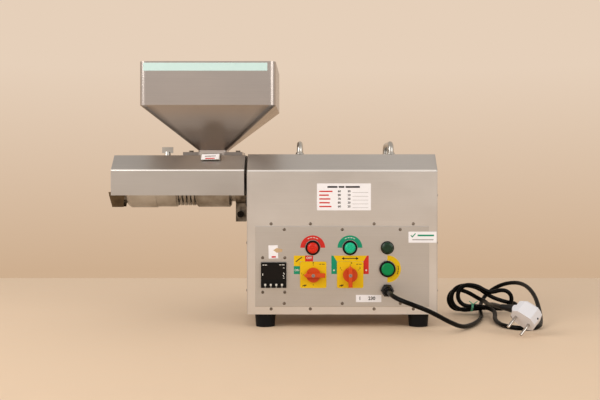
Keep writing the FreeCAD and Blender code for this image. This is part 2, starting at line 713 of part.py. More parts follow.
def gearbox_outline(inset, bottom):
    """Cast housing's section seen from the end, wide round the slow gear and narrow round the motor shaft."""
    return [(40 - inset / 2, 325 - inset), (67 - inset, 288), (67 - inset, 236), (68 - inset, 196),
            (68 - inset, bottom), (inset - 32, bottom), (inset - 32, 176), (inset - 67, 240),
            (inset - 67, 288), (inset / 2 - 40, 325 - inset)]


def gearbox():
    """Cast housing with a bearing nose through the end plate, its cover, and the bearings."""
    housing = body("gearbox_housing")
    left, right = S.gearbox_left, S.gearbox_right
    lift = S.axis_z - 257
    floor = S.case_bottom + S.gauge
    def raised(inset, bottom):
        return [(y, z if isinstance(z, Size) and z is bottom else z + lift)
                for y, z in gearbox_outline(inset, bottom)]
    pad(housing, polygon(housing, "YZ", raised(0, floor), lift=left), right - left)
    cavity = raised(S.gearbox_wall, size(112))
    pocket(housing, polygon(housing, "YZ", cavity, lift=left + S.gearbox_wall), right - left, forward=True)
    underside = oblong((S.gearbox_wall - 32, 68 - S.gearbox_wall), (floor + S.gearbox_wall, 104))
    pocket(housing, polygon(housing, "YZ", underside, lift=left + S.gearbox_wall), right - left, forward=True)
    nose = circles(housing, "YZ", S.gearbox_nose, [(0, S.axis_z)], lift=S.nose_left)
    pad(housing, nose, left - S.nose_left)
    bearing = S.gearbox_nose - 5
    pocket(housing, circles(housing, "YZ", bearing, [(0, S.axis_z)], lift=left + S.gearbox_wall + 1), 15)
    pocket(housing, circles(housing, "YZ", S.neck_radius, [(0, S.axis_z)], lift=left), left - S.nose_left + 5)
    seat = circles(housing, "YZ", S.lay_radius + S.running_gap, [(S.lay_y, LAY_Z)],
                   lift=left + S.gearbox_wall + 1)
    pocket(housing, seat, 5)
    cover = body("gearbox_cover")
    pad(cover, polygon(cover, "YZ", raised(0, floor + 78), lift=right), S.motor_flange - right)
    far = S.motor_flange + 1
    around = circles(cover, "YZ", S.shaft_radius + S.running_gap, [(0, S.axis_z)], lift=right - 1)
    pocket(cover, around, 5, forward=True)
    lay = circles(cover, "YZ", S.lay_radius + S.running_gap, [(S.lay_y, LAY_Z)], lift=right - 1)
    pocket(cover, lay, 5, forward=True)
    motor = circles(cover, "YZ", S.motor_shaft + 0.3, [(S.motor_y, MOTOR_Z)], lift=far)
    pocket(cover, motor, 10)
    span = (left - 8, left + S.gearbox_wall)
    inner_race = rod(span, 0, S.axis_z, S.shaft_radius + S.running_gap)
    node("output_bearing", cut(rod(span, 0, S.axis_z, bearing), inner_race))


def drive():
    """Output shaft and gear, layshaft and gear, and the motor's pinion."""
    output, lay_pinion, lay_gear, motor = mesh_angles()
    left = S.gearbox_left
    shaft_left = left - 7
    shaft = rod((shaft_left, S.gearbox_right + 3.5), 0, S.axis_z, S.shaft_radius)
    socket = hexagon((shaft_left, shaft_left + 24), 0, S.axis_z, S.tang_radius)
    node("output_shaft", cut(shaft, socket))
    wheel = gear(S.slow_module, S.slow_teeth, S.slow_width, SLOW_LEFT, 0, S.axis_z, S.shaft_radius, output)
    node("output_gear", wheel)
    lay = rod((left + S.gearbox_wall - 3.5, S.gearbox_right + 3.5), S.lay_y, LAY_Z, S.lay_radius)
    small = gear(S.slow_module, S.slow_pinion_teeth, S.slow_width, SLOW_LEFT, S.lay_y, LAY_Z, None,
                 lay_pinion)
    node("layshaft", fuse(lay, small))
    large = gear(S.fast_module, S.fast_teeth, S.fast_width, FAST_LEFT, S.lay_y, LAY_Z, S.lay_radius, lay_gear)
    node("layshaft_gear", large)
    pinion = gear(S.fast_module, S.fast_pinion_teeth, S.fast_width, FAST_LEFT, S.motor_y, MOTOR_Z, None,
                  motor)
    step = S.gearbox_right - 1
    node("motor_shaft", fuse(pinion, rod((FAST_LEFT - 1, step), S.motor_y, MOTOR_Z, S.pinion_shaft),
                             rod((step, S.fan_cover_right - 6), S.motor_y, MOTOR_Z, S.motor_shaft)))


def motor():
    """Ribbed motor bolted to the gearbox cover, standing on a cradle, with a fan behind it."""
    y, z = S.motor_y, MOTOR_Z
    frame = body("motor_frame", S.motor_flange, y, z, "X")
    radius = S.motor_radius
    bore = S.motor_shaft + S.running_gap
    reach = S.motor_left - S.motor_flange
    end = S.motor_right - S.motor_flange
    far = end + S.shield_length
    profile = [(bore, 0), (radius - 8, 0), (radius - 8, reach), (radius, reach), (radius, end),
               (radius - 5, far),
               (bore, far)]
    turned(frame, polygon(frame, "XZ", profile))
    rib = pad(frame, polygon(frame, "XY", oblong((radius - 1, radius + S.rib_height), (-1.5, 1.5)),
                             lift=reach + 8),
              end - reach - 16)
    ring = frame.newObject("PartDesign::PolarPattern", "ribs")
    ring.Originals = [rib]
    ring.Axis = ([item for item in frame.Origin.OriginFeatures if item.Role == "Z_Axis"][0], [""])
    ring.Angle = 360
    ring.Occurrences = 20
    frame.Tip = ring
    back = S.motor_right + S.shield_length
    shell = cut(rod((back, S.fan_cover_right), y, z, radius - 5),
                rod((back, S.fan_cover_right - 1.5), y, z, radius - 7),
                *[rod((S.fan_cover_right - 1.5, S.fan_cover_right), y + 28 * math.cos(math.radians(a)),
                      z + 28 * math.sin(math.radians(a)), 9) for a in range(0, 360, 60)])
    node("motor_fan_cover", shell)
    fan = body("motor_fan", back + 4, y, z, "X")
    pad(fan, circles(fan, "XY", S.motor_shaft + 6, [(0, 0)]), 12)
    blade = pad(fan, polygon(fan, "XY", oblong((S.motor_shaft + 3, radius - 10), (-1, 1))), 12)
    blades = fan.newObject("PartDesign::PolarPattern", "blades")
    blades.Originals = [blade]
    blades.Axis = ([item for item in fan.Origin.OriginFeatures if item.Role == "Z_Axis"][0], [""])
    blades.Angle = 360
    blades.Occurrences = 8
    fan.Tip = blades
    doc.recompute()
    pocket(fan, circles(fan, "XY", S.motor_shaft, [(0, 0)], lift=20), 30)
    floor = S.case_bottom + S.gauge
    saddle = fuse(box((-60, -48), (y - 40, y + 40), (floor, z)), box((30, 42), (y - 40, y + 40), (floor, z)),
                  box((-60, 42), (y - 40, y + 40), (floor, floor + 6)))
    node("motor_cradle", cut(saddle, rod((-62, 44), y, z, radius + S.rib_height)))


def electrics():
    """Capacitor cans, terminal strip and their mounting clips at the right end of the case."""
    floor = S.case_bottom + S.gauge
    cans = [fuse(rod(146, y, (floor, floor + tall), radius), rod(146, y, (floor + tall, floor + tall + 6), 4))
            for y, tall, radius in ((-40, 86, 19), (12, 70, 17))]
    node("capacitors", group(cans))
    strip = box((114, 140), (40, 86), (floor, floor + 14))
    ways = [box((114, 140), (44 + 8 * step, 46 + 8 * step), (floor + 9, floor + 14)) for step in range(5)]
    node("terminal_block", cut(strip, *ways))


def barrel():
    """Clamp on the gearbox nose, slotted press barrel, and the head with its heater band."""
    z = S.axis_z
    left, right = S.clamp_left, S.clamp_right
    ring = fuse(rod((left, right), 0, z, S.clamp_radius),
                box((left, right), (-S.clamp_slit / 2 - S.ear_width, S.clamp_slit / 2 + S.ear_width),
                    (S.ear_bottom, z - 10)))
    middle = (left + right) / 2
    reach = S.clamp_slit / 2 + S.ear_width
    bolt_hole = rod(middle, (-reach, reach), S.clamp_screw_z, 4)
    node("barrel_clamp", cut(ring, rod((left, right), 0, z, S.neck_radius), bolt_hole,
                             box((left, right), (-(S.clamp_slit / 2), S.clamp_slit / 2), (S.ear_bottom, z))))
    head = rod(middle, (-reach - 8, -reach), S.clamp_screw_z, 6.5)
    key = hexagon(middle, (-reach - 8, -reach - 4), S.clamp_screw_z, 3.4)
    nut = hexagon(middle, (reach, reach + 6), S.clamp_screw_z, 7.5)
    node("clamp_screw", fuse(cut(head, key), rod(middle, (-reach, reach), S.clamp_screw_z, 4), nut))

    tube = body("press_barrel", 0, 0, z)
    neck, feed, cage = S.neck_radius, S.feed_radius, S.cage_radius
    bore, shank = S.bore_radius, S.screw_shank + 0.5
    nose = S.nose_left + 3
    feed_bore = S.feed_right - 8
    profile = [(nose, shank), (nose, neck), (S.feed_right, neck), (S.feed_right, feed - 3),
               (S.feed_right - 3, feed),
               (S.feed_left + 2, feed), (S.feed_left, feed - 2), (S.feed_left, cage), (S.cage_left, cage),
               (S.cage_left, bore), (feed_bore, bore), (feed_bore, shank)]
    turned(tube, polygon(tube, "XZ", profile), "H_Axis")
    out = S.mouth_half
    block = oblong((S.feed_x - out, S.feed_x + out), (-out, out))
    pad(tube, polygon(tube, "XY", block, lift=bore + 2), S.mouth_top - z - bore - 2)
    inner = S.throat_radius
    pocket(tube, circles(tube, "XY", inner, [(S.feed_x, 0)], lift=S.mouth_top - z + 1), S.mouth_top - z + 1)
    slot_x = S.cage_left + 2
    slot = oblong((slot_x, slot_x + S.slot_width), (-cage, cage))
    first = pocket(tube, polygon(tube, "XY", slot, lift=-4), cage)
    row = tube.newObject("PartDesign::LinearPattern", "slots")
    row.Originals = [first]
    row.Direction = ([item for item in tube.Origin.OriginFeatures if item.Role == "X_Axis"][0], [""])
    row.setExpression("Length", (S.slot_pitch * (S.slot_count - 1)).text)
    row.Occurrences = int(S.slot_count.value)
    tube.Tip = row

    outer, band = S.press_head_radius, S.band_bore
    cone_left = S.band_left + 14
    bore_out = S.nozzle_radius
    head = body("press_head", 0, 0, z)
    profile = [(S.cage_left, bore), (S.cage_left, outer - 2), (S.cage_left - 2, outer), (S.head_left, outer),
               (S.head_left, band), (S.band_left + 4, band), (S.band_left, band - 4), (S.band_left, bore_out),
               (cone_left, bore_out), (cone_left, S.screw_tip + 1.5), (S.head_left, bore - 4),
               (S.head_left + 12, bore)]
    turned(head, polygon(head, "XZ", profile), "H_Axis")
    post = circles(head, "XY", 7, [(S.post_x, 0)], lift=bore + 4)
    pad(head, post, S.cover_top - S.gauge - z - bore - 4)
    pocket(head, circles(head, "XY", 3.2, [(S.post_x, 0)], lift=S.cover_top - z), 30)

    heater = body("heater_band", 0, 0, z)
    jacket = S.band_radius
    profile = [(S.head_left, band), (S.head_left, jacket), (S.band_left + 10, jacket),
               (S.band_left + 4, jacket - 4), (S.band_left + 4, band)]
    turned(heater, polygon(heater, "XZ", profile), "H_Axis")
    clip_x = S.head_left - 24
    pad(heater, polygon(heater, "XZ", oblong((clip_x - 8, clip_x + 8), (-9, 9)), lift=-jacket - 5), 8)
    pocket(heater, polygon(heater, "XZ", oblong((clip_x - 9, clip_x + 9), (-1, 1)), lift=-jacket + 4), 16)

    tip = S.nozzle_left
    nozzle = body("cake_nozzle", 0, 0, z)
    fit = S.nozzle_radius - S.running_gap
    profile = [(cone_left - 2, S.nozzle_bore), (cone_left - 2, fit), (S.band_left - 1, fit),
               (S.band_left - 1, fit + 2.5), (S.band_left - 7, fit + 2.5), (S.band_left - 7, fit - 2),
               (tip, fit - 4), (tip, S.nozzle_bore)]
    turned(nozzle, polygon(nozzle, "XZ", profile), "H_Axis")
    holes = circles(nozzle, "XZ", 2, [(S.band_left - 4, 0)], lift=-(fit + 6))
    pocket(nozzle, holes, 2 * fit + 12, forward=True)


def press_screw():
    """Worm whose root swells toward the head, with one thread wound round it and a hexagon tang."""
    worm = blank("worm", 0, 0, S.axis_z)
    shank, top = S.screw_shank, S.flight_radius
    tang = S.gearbox_left - 7
    feed_end = S.feed_right - 9
    cone = S.head_left + 10
    tip = S.band_left + 15
    profile = [(tip, 0), (tip, S.screw_tip - 2), (tip + 2, S.screw_tip), (cone - 12, 16), (cone, 18),
               (S.cage_left - 6, 17.5), (feed_end, 9.5), (feed_end + 0.2, shank), (tang, shank), (tang, 0)]
    turned(worm, polygon(worm, "XZ", profile), "H_Axis")
    start = S.cage_left - 12
    flight = S.flight_crest / 2
    thread = [(start - flight - 1.5, 8), (start - flight, top), (start + flight, top),
              (start + flight + 2.5, 8)]
    wound = worm.newObject("PartDesign::AdditiveHelix", "thread")
    wound.Profile = polygon(worm, "XZ", thread)
    wound.ReferenceAxis = (wound.Profile[0], ["H_Axis"])
    wound.Mode = "height-turns-angle"
    wound.setExpression("Height", (feed_end - start - 8).text)
    wound.Turns = 5
    worm.Tip = wound
    doc.recompute()
    node("press_screw", fuse(worm, hexagon((tang, tang + 23), 0, S.axis_z, S.tang_radius)))


def cover():
    """Folded guard over the barrel, notched for the chute, with a throat under the hopper."""
    guard = body("press_cover")
    left, right = S.cover_left, S.cover_right
    def wrap(inset):
        return wrap_outline(BACK, S.cover_bottom, S.cover_top, S.cover_bevel_in, S.cover_bevel_down, inset)
    section = wrap(0) + wrap(S.gauge)[::-1]
    pad(guard, polygon(guard, "YZ", section, lift=left), right - left)
    round_folds(guard, [(S.fold_radius, wrap(0)), (S.fold_radius - S.gauge, wrap(S.gauge))])
    wall = wrap(S.gauge / 2)
    pad(guard, polygon(guard, "YZ", wall, lift=left), S.gauge)
    half = S.notch_half
    notch = oblong((-half, half), (S.cover_bottom - 1, S.notch_top))
    pocket(guard, polygon(guard, "YZ", notch, lift=left - 1), 5, forward=True)
    pad(guard, polygon(guard, "YZ", wall, lift=right - S.gauge), S.gauge)
    opening = oblong((-34, 34), (S.cover_bottom - 1, S.notch_top + 4))
    pocket(guard, polygon(guard, "YZ", opening, lift=right + 1), 5)
    collar = circles(guard, "XY", S.throat_radius + 1.5, [(S.feed_x, 0)], lift=S.mouth_top)
    pad(guard, collar, S.cover_top - S.gauge - S.mouth_top)
    pocket(guard, circles(guard, "XY", S.throat_radius, [(S.feed_x, 0)], lift=S.cover_top + 1), 40)
    pocket(guard, circles(guard, "XY", 3.2, [(S.post_x, 0)], lift=S.cover_top + 1), 4)
    bolts = [(S.feed_x + side * S.bolt_x, 0) for side in (-1, 1)]
    pocket(guard, circles(guard, "XY", S.screw_radius + 0.5, bolts, lift=S.cover_top + 1), 4)


def chute():
    """Open funnel hung on the press head by two tabs, which turns the cake down past the cover's end."""
    left = S.cover_left
    wall = 1.2
    def ring(x0, x1, half, z, inset):
        corners = [(x0 + inset, -half + inset), (x1 - inset, -half + inset), (x1 - inset, half - inset),
                   (x0 + inset, half - inset)]
        points = [FreeCAD.Vector(size(x).value, size(y).value, size(z).value) for x, y in corners]
        return Part.makePolygon(points + points[:1])
    top, bottom = S.chute_top, S.chute_bottom
    def funnel(inset):
        return Part.makeLoft([ring(left - 22.5, left + 4.5, size(20), top, inset),
                              ring(left - 16, left + 2, size(13), bottom, inset)], True, True)
    item = doc.addObject("Part::Feature", "funnel")
    item.Shape = funnel(0).cut(funnel(wall))
    put(item, 0, 0, 0)
    throat = box((left - 6, left + 6), (-19, 19), (S.chute_bottom + 8, top + 1))
    tabs = [box((left - 2, S.band_left), span, (S.axis_z - 7, top)) for span in ((-21, -18.8), (18.8, 21))]
    node("cake_chute", fuse(cut(item, throat), *tabs))


def hopper():
    """Square feed hopper folded from sheet, its neck welded to a flange that bolts over the gate."""
    x = S.hopper_x
    def ring(width, depth, z, inset, radius):
        a, b = size(width).value / 2 - inset, size(depth).value / 2 - inset
        r = max(radius - inset, 1)
        cx = S.hopper_x.value
        level = size(z).value
        def at(dx, dy):
            return FreeCAD.Vector(cx + dx, dy, level)
        edges = []
        for sx, sy, first in ((1, -1, 270), (1, 1, 0), (-1, 1, 90), (-1, -1, 180)):
            centre = at(sx * (a - r), sy * (b - r))
            arc = Part.ArcOfCircle(Part.Circle(centre, FreeCAD.Vector(0, 0, 1), r),
                                   math.radians(first), math.radians(first + 90))
            edges.append(arc.toShape())
        lines = []
        for this, after in zip(edges, edges[1:] + edges[:1]):
            lines.append(this)
            lines.append(Part.makeLine(this.lastVertex().Point, after.firstVertex().Point))
        return Part.Wire(lines)
    def bin_solid(inset):
        rim = S.hopper_rim + (1 if inset else 0)
        low = S.hopper_neck_bottom - (1 if inset else 0)
        levels = [(S.hopper_width, S.hopper_depth, rim, 12),
                  (S.hopper_width, S.hopper_depth, S.hopper_fold, 12),
                  (S.neck_width, S.neck_depth, S.hopper_neck_top, 7), (S.neck_width, S.neck_depth, low, 7)]
        pieces = []
        for upper, lower in zip(levels, levels[1:]):
            wires = [ring(upper[0], upper[1], upper[2], inset, upper[3]),
                     ring(lower[0], lower[1], lower[2], inset, lower[3])]
            pieces.append(Part.makeLoft(wires, True, True))
        return pieces[0].multiFuse(pieces[1:]).removeSplitter()
    shell = doc.addObject("Part::Feature", "bin")
    shell.Shape = bin_solid(0).cut(bin_solid(S.gauge.value))
    put(shell, 0, 0, 0)
    low = S.hopper_neck_bottom - S.flange_gauge
    fx, fy = S.flange_x, S.flange_y
    flange = box((S.feed_x - fx, S.feed_x + fx), (-fy, fy), (low, S.hopper_neck_bottom))
    flange = cut(flange, rod(S.feed_x, 0, (low, S.hopper_neck_bottom), S.throat_radius),
                 *[rod(S.feed_x + side * S.bolt_x, 0, (low, S.hopper_neck_bottom), S.screw_radius + 0.5)
                   for side in (-1, 1)])
    runners = []
    for side in (-1, 1):
        inner = S.feed_x + side * (S.gate_width / 2 + 0.5)
        outer = S.feed_x + side * fx
        span = (inner, outer) if side > 0 else (outer, inner)
        runner = box(span, (-fy, fy), (S.cover_top, low))
        bolt_way = rod(S.feed_x + side * S.bolt_x, 0, (S.cover_top, low), S.screw_radius + 0.5)
        runners.append(cut(runner, bolt_way))
    node("hopper", fuse(shell, flange, *runners))
    bolts = []
    for side in (-1, 1):
        bx = S.feed_x + side * S.bolt_x
        bolts.append(fuse(hexagon(bx, 0, (S.hopper_neck_bottom, S.hopper_neck_bottom + 4), 4.6),
                          rod(bx, 0, (S.cover_top - S.gauge, S.hopper_neck_bottom), S.screw_radius + 0.5),
                          hexagon(bx, 0, (S.cover_top - S.gauge - 4, S.cover_top - S.gauge), 4.6)))
    node("hopper_bolts", group(bolts))


def feed_gate():
    """Flat gate between the flange and the cover, bent down at its front as a pull."""
    gate = body("feed_gate", S.feed_x)
    half = S.gate_width / 2
    low = S.cover_top + 0.4
    high = low + 2
    front = S.gate_front
    section = [(S.gate_back, low), (S.gate_back, high), (front - 2, high), (front - 2, high - S.gate_lip),
               (front, high - S.gate_lip), (front, low)]
    pad(gate, polygon(gate, "YZ", section), half * 2, midplane=True)
    pocket(gate, circles(gate, "XY", S.gate_hole, [(0, 0)], lift=S.cover_top + 5), 12)


def cover_knob():
    """Wing knob on a long stud that holds the cover down on its post."""
    x = S.post_x
    top = S.cover_top
    washer = rod(x, 0, (top, top + 1.5), 8)
    hub = taper(x, 0, (top + 1.5, top + 9), 6.5, 5)
    wings = fuse(box((x - 11, x + 11), (-2, 2), (top + 6, S.knob_top)), rod(x, (-2, 2), S.knob_top - 3, 2.5))
    stud = rod(x, 0, (top - 26, top + 1.5), 3)
    node("cover_knob", fuse(washer, hub, wings, stud))


# Route of the lead by hand, as corners that its arcs round off: from the gland to the hank, then to the plug
LEAD_TO_HANK = [(85.5, -133.5, 70.8), (86, -160, 70.5), (98, -186, 65), (123, -201, 54),
                (155, -197, 38), (190, -168, 19), (224, -124, 6), (251, -78, 4.4), (274, -26, 4.4),
                (287, 26, 4.4), (292, 80, 5), (300, 122, 14), (322, 148, 32), (352, 144, 52),
                (378, 112, 62), (392, 66, 60), (396, 14, 46), (396, -38, 28), (393, -82, 12),
                (391, -114, 5), (366.5, -139, 4.4), (332, -139, 4.4), (307, -114, 4.4), (305, -74, 4.4),
                (309, -30, 6), (314, 10, 12), (314, 48, 16)]
LEAD_TO_PLUG = [(300, 48, 24), (298, 10, 27), (293, -40, 34), (289, -86, 41), (288, -120, 45),
                (293, -146, 46)]
HANK_OUTLINE = [(238, 4.8), (264, 7.5), (284, 9.6), (313, 9.6), (340, 20), (356, 33), (357, 46), (345, 50),
                (322, 44), (307, 45), (298, 57), (283, 64), (264, 67), (247, 60), (238, 46), (229, 32),
                (228, 16)]


def rounded_path(points):
    """Straight runs joined by tangent arcs, with the arcs' radii."""
    corners = [FreeCAD.Vector(*point) for point in points]
    edges, radii, start = [], [], corners[0]
    for before, corner, after in zip(corners, corners[1:], corners[2:]):
        back, ahead = before - corner, after - corner
        reach = 0.45 * min(back.Length, ahead.Length)
        back.normalize()
        ahead.normalize()
        turn = math.pi - back.getAngle(ahead)
        radius = reach / math.tan(turn / 2)
        radii.append(radius)
        enter, leave = corner + back * reach, corner + ahead * reach
        bisector = back + ahead
        bisector.normalize()
        middle = corner + bisector * (radius / math.cos(turn / 2) - radius)
        edges.append(Part.makeLine(start, enter))
        edges.append(Part.Arc(enter, middle, leave).toShape())
        start = leave
    edges.append(Part.makeLine(start, corners[-1]))
    return Part.Wire(edges), radii


def lead(points):
    """One free stretch of the round lead."""
    path, radii = rounded_path(points)
    direction = FreeCAD.Vector(*points[1]) - FreeCAD.Vector(*points[0])
    radius = S.cord_radius.value
    section = Part.Wire(Part.makeCircle(radius, FreeCAD.Vector(*points[0]), direction))
    item = doc.addObject("Part::Feature", "lead")
    item.Shape = path.makePipeShell([section], True, False)
    share = item.Shape.Volume / (math.pi * radius ** 2 * path.Length)
    print("lead %.0f mm long, volume %.4f of section times length, radii" % (path.Length, share),
          " ".join("%.0f" % value for value in radii))
    return put(item, 0, 0, 0)


def mains_lead():
    """The lead from the gland, its tied hank, and the stretch to the plug."""
    to_plug = lead(LEAD_TO_PLUG)
    node("power_cord", group([lead(LEAD_TO_HANK), to_plug]))
    front, depth = S.hank_front.value, S.hank_depth.value
    curve = Part.BSplineCurve()
    curve.interpolate([FreeCAD.Vector(x, front, z) for x, z in HANK_OUTLINE], PeriodicFlag=True)
    bundle = doc.addObject("Part::Feature", "bundle")
    bundle.Shape = Part.Face(Part.Wire(curve.toShape())).extrude(FreeCAD.Vector(0, depth, 0))
    node("cord_hank", put(bundle, 0, 0, 0))
    back = S.hank_front + S.hank_depth
    band = box((S.tie_left, S.tie_left + S.tie_width), (S.hank_front - 1.2, back + 1.2), (4, 32))
    node("cord_tie", cut(band, bundle))
    plug(to_plug)


def plug(cord):
    """Two-pin plug lying on one pin tip and its rim, with a tapered boot where the lead goes in."""
    pin_way = FreeCAD.Vector(-0.64, -0.45, -0.62)
    across = FreeCAD.Vector(0.766, -0.43, -0.479)
    face = FreeCAD.Vector(320.5, -189.6, 27.5)
    turn = FreeCAD.Rotation(across, FreeCAD.Vector(), -pin_way, "ZXY")
    shell = blank("shell", face.x, face.y, face.z)
    shell.Placement.Rotation = turn
    long, wide = S.plug_long / 2, S.plug_wide / 2
    cheek = 10
    outline = [(-long, -wide + cheek), (-long + cheek, -wide), (long - cheek, -wide), (long, -wide + cheek),
               (long, wide - cheek), (long - cheek, wide), (-long + cheek, wide), (-long, wide - cheek)]
    pad(shell, polygon(shell, "XY", outline), S.plug_deep)
    bevelled(shell, 6, lambda edge, middle: abs(middle.z - S.plug_deep.value) < 0.01)
    end, entry = FreeCAD.Vector(*LEAD_TO_PLUG[-1]), face - across * 17 - pin_way * 15
    boot = doc.addObject("Part::Cone", "boot")
    boot.setExpression("Radius1", (S.cord_radius + 0.9).text)
    boot.Radius2 = 8.5
    boot.Height = (entry - end).Length
    boot.Placement = FreeCAD.Placement(end, FreeCAD.Rotation(FreeCAD.Vector(0, 0, 1), entry - end))
    node("plug_body", cut(fuse(shell, boot), cord))
    pins = []
    for side in (-1, 1):
        base = face + across * (side * S.pin_spacing.value / 2)
        pin = doc.addObject("Part::Cylinder", "pin")
        pin.setExpression("Radius", S.pin_radius.text)
        pin.setExpression("Height", S.pin_length.text)
        pin.Placement = FreeCAD.Placement(base, FreeCAD.Rotation(FreeCAD.Vector(0, 0, 1), pin_way))
        pins.append(pin)
    node("plug_pins", group(pins))


for build in (case_shell, base_plate, stiffening_rails, end_plates, case_fasteners, feet, handles,
              controls, gearbox, drive, motor, electrics, barrel, press_screw, cover, chute, hopper,
              feed_gate, cover_knob, mains_lead):
    build()
    doc.recompute()

failed = [item.Name for item in doc.Objects if "Invalid" in item.State or "Error" in item.State]
failed += [item.Label for item in NODES if item.Shape.isNull() or not item.Shape.isValid()]
if failed:
    raise SystemExit("These did not build: " + ", ".join(failed))
os.makedirs("parts", exist_ok=True)
for item in NODES:
    item.Shape.exportStep("parts/%s.step" % item.Label)
print("wrote %d sub-parts" % len(NODES))
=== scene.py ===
"""Looks of the screw oil press: finishes, labels, printed legends, the mains lead and a plain studio."""
import bpy
import bmesh
import json
import math
from mathutils import Matrix, Vector


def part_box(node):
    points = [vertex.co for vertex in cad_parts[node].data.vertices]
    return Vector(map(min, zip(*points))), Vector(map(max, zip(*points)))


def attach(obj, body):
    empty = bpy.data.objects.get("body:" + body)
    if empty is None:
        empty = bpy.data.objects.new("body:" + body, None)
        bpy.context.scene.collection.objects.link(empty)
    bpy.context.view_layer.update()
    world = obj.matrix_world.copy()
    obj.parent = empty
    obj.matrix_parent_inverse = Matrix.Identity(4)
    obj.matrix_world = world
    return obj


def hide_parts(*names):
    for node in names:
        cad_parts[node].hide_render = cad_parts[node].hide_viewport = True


bl_info = {
    "name": "Screw oil press",
    "version": (1, 0, 0),
    "blender": (4, 5, 0),
    "location": "3D View > Sidebar > Oil Press",
    "description": "Dresses the packed screw oil press and lights it",
    "category": "Object",
}

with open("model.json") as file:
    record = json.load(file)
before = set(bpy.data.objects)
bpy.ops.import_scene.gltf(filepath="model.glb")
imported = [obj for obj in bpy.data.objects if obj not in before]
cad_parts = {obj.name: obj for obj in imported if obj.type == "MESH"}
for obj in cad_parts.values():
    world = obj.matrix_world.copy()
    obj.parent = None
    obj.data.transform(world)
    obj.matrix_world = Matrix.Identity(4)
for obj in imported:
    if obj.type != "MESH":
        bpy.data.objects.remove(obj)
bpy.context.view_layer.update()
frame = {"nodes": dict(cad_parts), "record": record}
MM = 0.001
# Faces toward the operator, in millimetres: the case's front and the control panel's
CASE_FACE = -100.0
PANEL_FACE = -101.5
# Thickness of a stuck label and of printing, in millimetres, and the labels' own front faces
LABEL_GAUGE = 0.25
PRINT_GAUGE = 0.1
PANEL_PRINT = PANEL_FACE - LABEL_GAUGE
CASE_PRINT = CASE_FACE - LABEL_GAUGE
# Places on the panel, in millimetres
HEATER_LAMP, MOTOR_LAMP, RESET_BUTTON = (-56, 151.6), (14.6, 151.6), (85.5, 111.5)
HEATER_SWITCH, DIRECTION_SWITCH = (-55, 100.5), (15, 100.5)
# Heights of the legends' upper band over the switches, in millimetres: its foot and its top
LEGEND_STEP, LEGEND_TOP = 125.7, 136.8
# Heights in metres of the folds between the fronts and their bevels, where a painted highlight is drawn
CASE_FOLD, COVER_FOLD = 0.2985, 0.2992
# Hopper in metres: its centre, half widths in X and Y at the neck and at the fold, and their heights
HOPPER_X = -0.2545
HOPPER_NECK, HOPPER_FOLD = (0.0285, 0.025, 0.339), (0.1285, 0.115, 0.4215)
# Half width of the table top, and its far edge behind the press, in metres
FLOOR_HALF, FLOOR_END = 3, 0.736
# The photograph's camera in metres, level, with its picture's middle off its axis
EYE = (-0.065, -1.79, 0.284)
LENS, PICTURE_SHIFT = 53.4, (-0.0133, -0.0367)

# Mains lead, X, Y and Z in millimetres: round from the gland, into the hank, out of it and on to the plug
LEAD_TO_HANK = [
    (85.5, -133.5, 70.8), (86, -160, 70.5), (98, -186, 65), (123, -199, 57), (155, -192, 44),
    (190, -170, 23), (222, -136, 6), (251, -90, 4.4), (274, -36, 4.4), (288, 20, 4.4), (296, 76, 5),
    (304, 118, 13), (322, 146, 32), (352, 144, 52), (378, 112, 62), (391, 66, 60), (395, 14, 46),
    (390, -38, 27), (382, -82, 11), (372, -116, 5), (348, -136, 4.4), (322, -130, 4.4), (305, -104, 4.4),
    (301, -64, 4.6), (305, -26, 6.5)]
HANK_ENTRY = [
    (312, 2, 11), (313, 22, 14), (306, 40, 16.5), (291, 49.5, 18.5), (277, 51.5, 19.5)]
HANK_EXIT = [
    (268, 68, 46), (282, 61, 38), (291, 49, 33), (297, 34, 31.5), (298, 14, 29.5), (297, -10, 31)]
LEAD_TO_PLUG = [
    (293, -46, 36), (289, -86, 42), (288, -120, 45), (293, -146, 46)]
# The hank's two folds at its right end
FIRST_RIGHT = [
    (286, 51.5, 60.5), (299, 51.5, 52.5), (311, 51.5, 47.5), (322, 51.5, 49), (333, 51.5, 52.2),
    (345.6, 51.7, 51), (354.8, 52, 43), (357, 52.5, 31.5), (352.4, 53, 19.6), (341, 54.5, 13.2),
    (325, 57, 13), (305, 60.2, 14.4), (287, 60.2, 13), (271, 60.2, 10.6)]
SECOND_RIGHT = [
    (274, 60, 60), (291, 60.5, 54), (304, 61, 44.5), (318, 61.5, 36), (334, 61.5, 30), (350, 61.5, 25.5),
    (362, 63.5, 24), (370.6, 72, 19.8), (370, 84.6, 13), (360.6, 92.8, 8.8), (346, 93.4, 8.2),
    (331, 87.5, 9.5), (314, 79, 13), (300, 73.5, 14.5), (286, 70, 12.5), (270, 69.5, 11)]
# Its three loops at the left end: centre X and Z, radius, Y, and where the loop is left, in degrees
LEFT_LOOPS = [(267, 41, 22, 51.5, 90), (258, 35.2, 25, 60.2, 90), (249.5, 30.5, 20.8, 69.5, 75)]
# Direction of the plug's boot, and how far along it from the origin the boot ends, in metres
BOOT_WAY = (0.632, -0.774, -0.029)
BOOT_END = 0.3259
# The three strands inside the tie, Y and Z
TIED_STRANDS = [(51.4, 19.1), (60.2, 11.4), (69.7, 11.6)]


def hex_colour(code):
    """A colour written as on screen, as linear values."""
    values = [int(code[i:i + 2], 16) / 255 for i in (0, 2, 4)]
    return [v / 12.92 if v <= 0.04045 else ((v + 0.055) / 1.055) ** 2.4 for v in values]


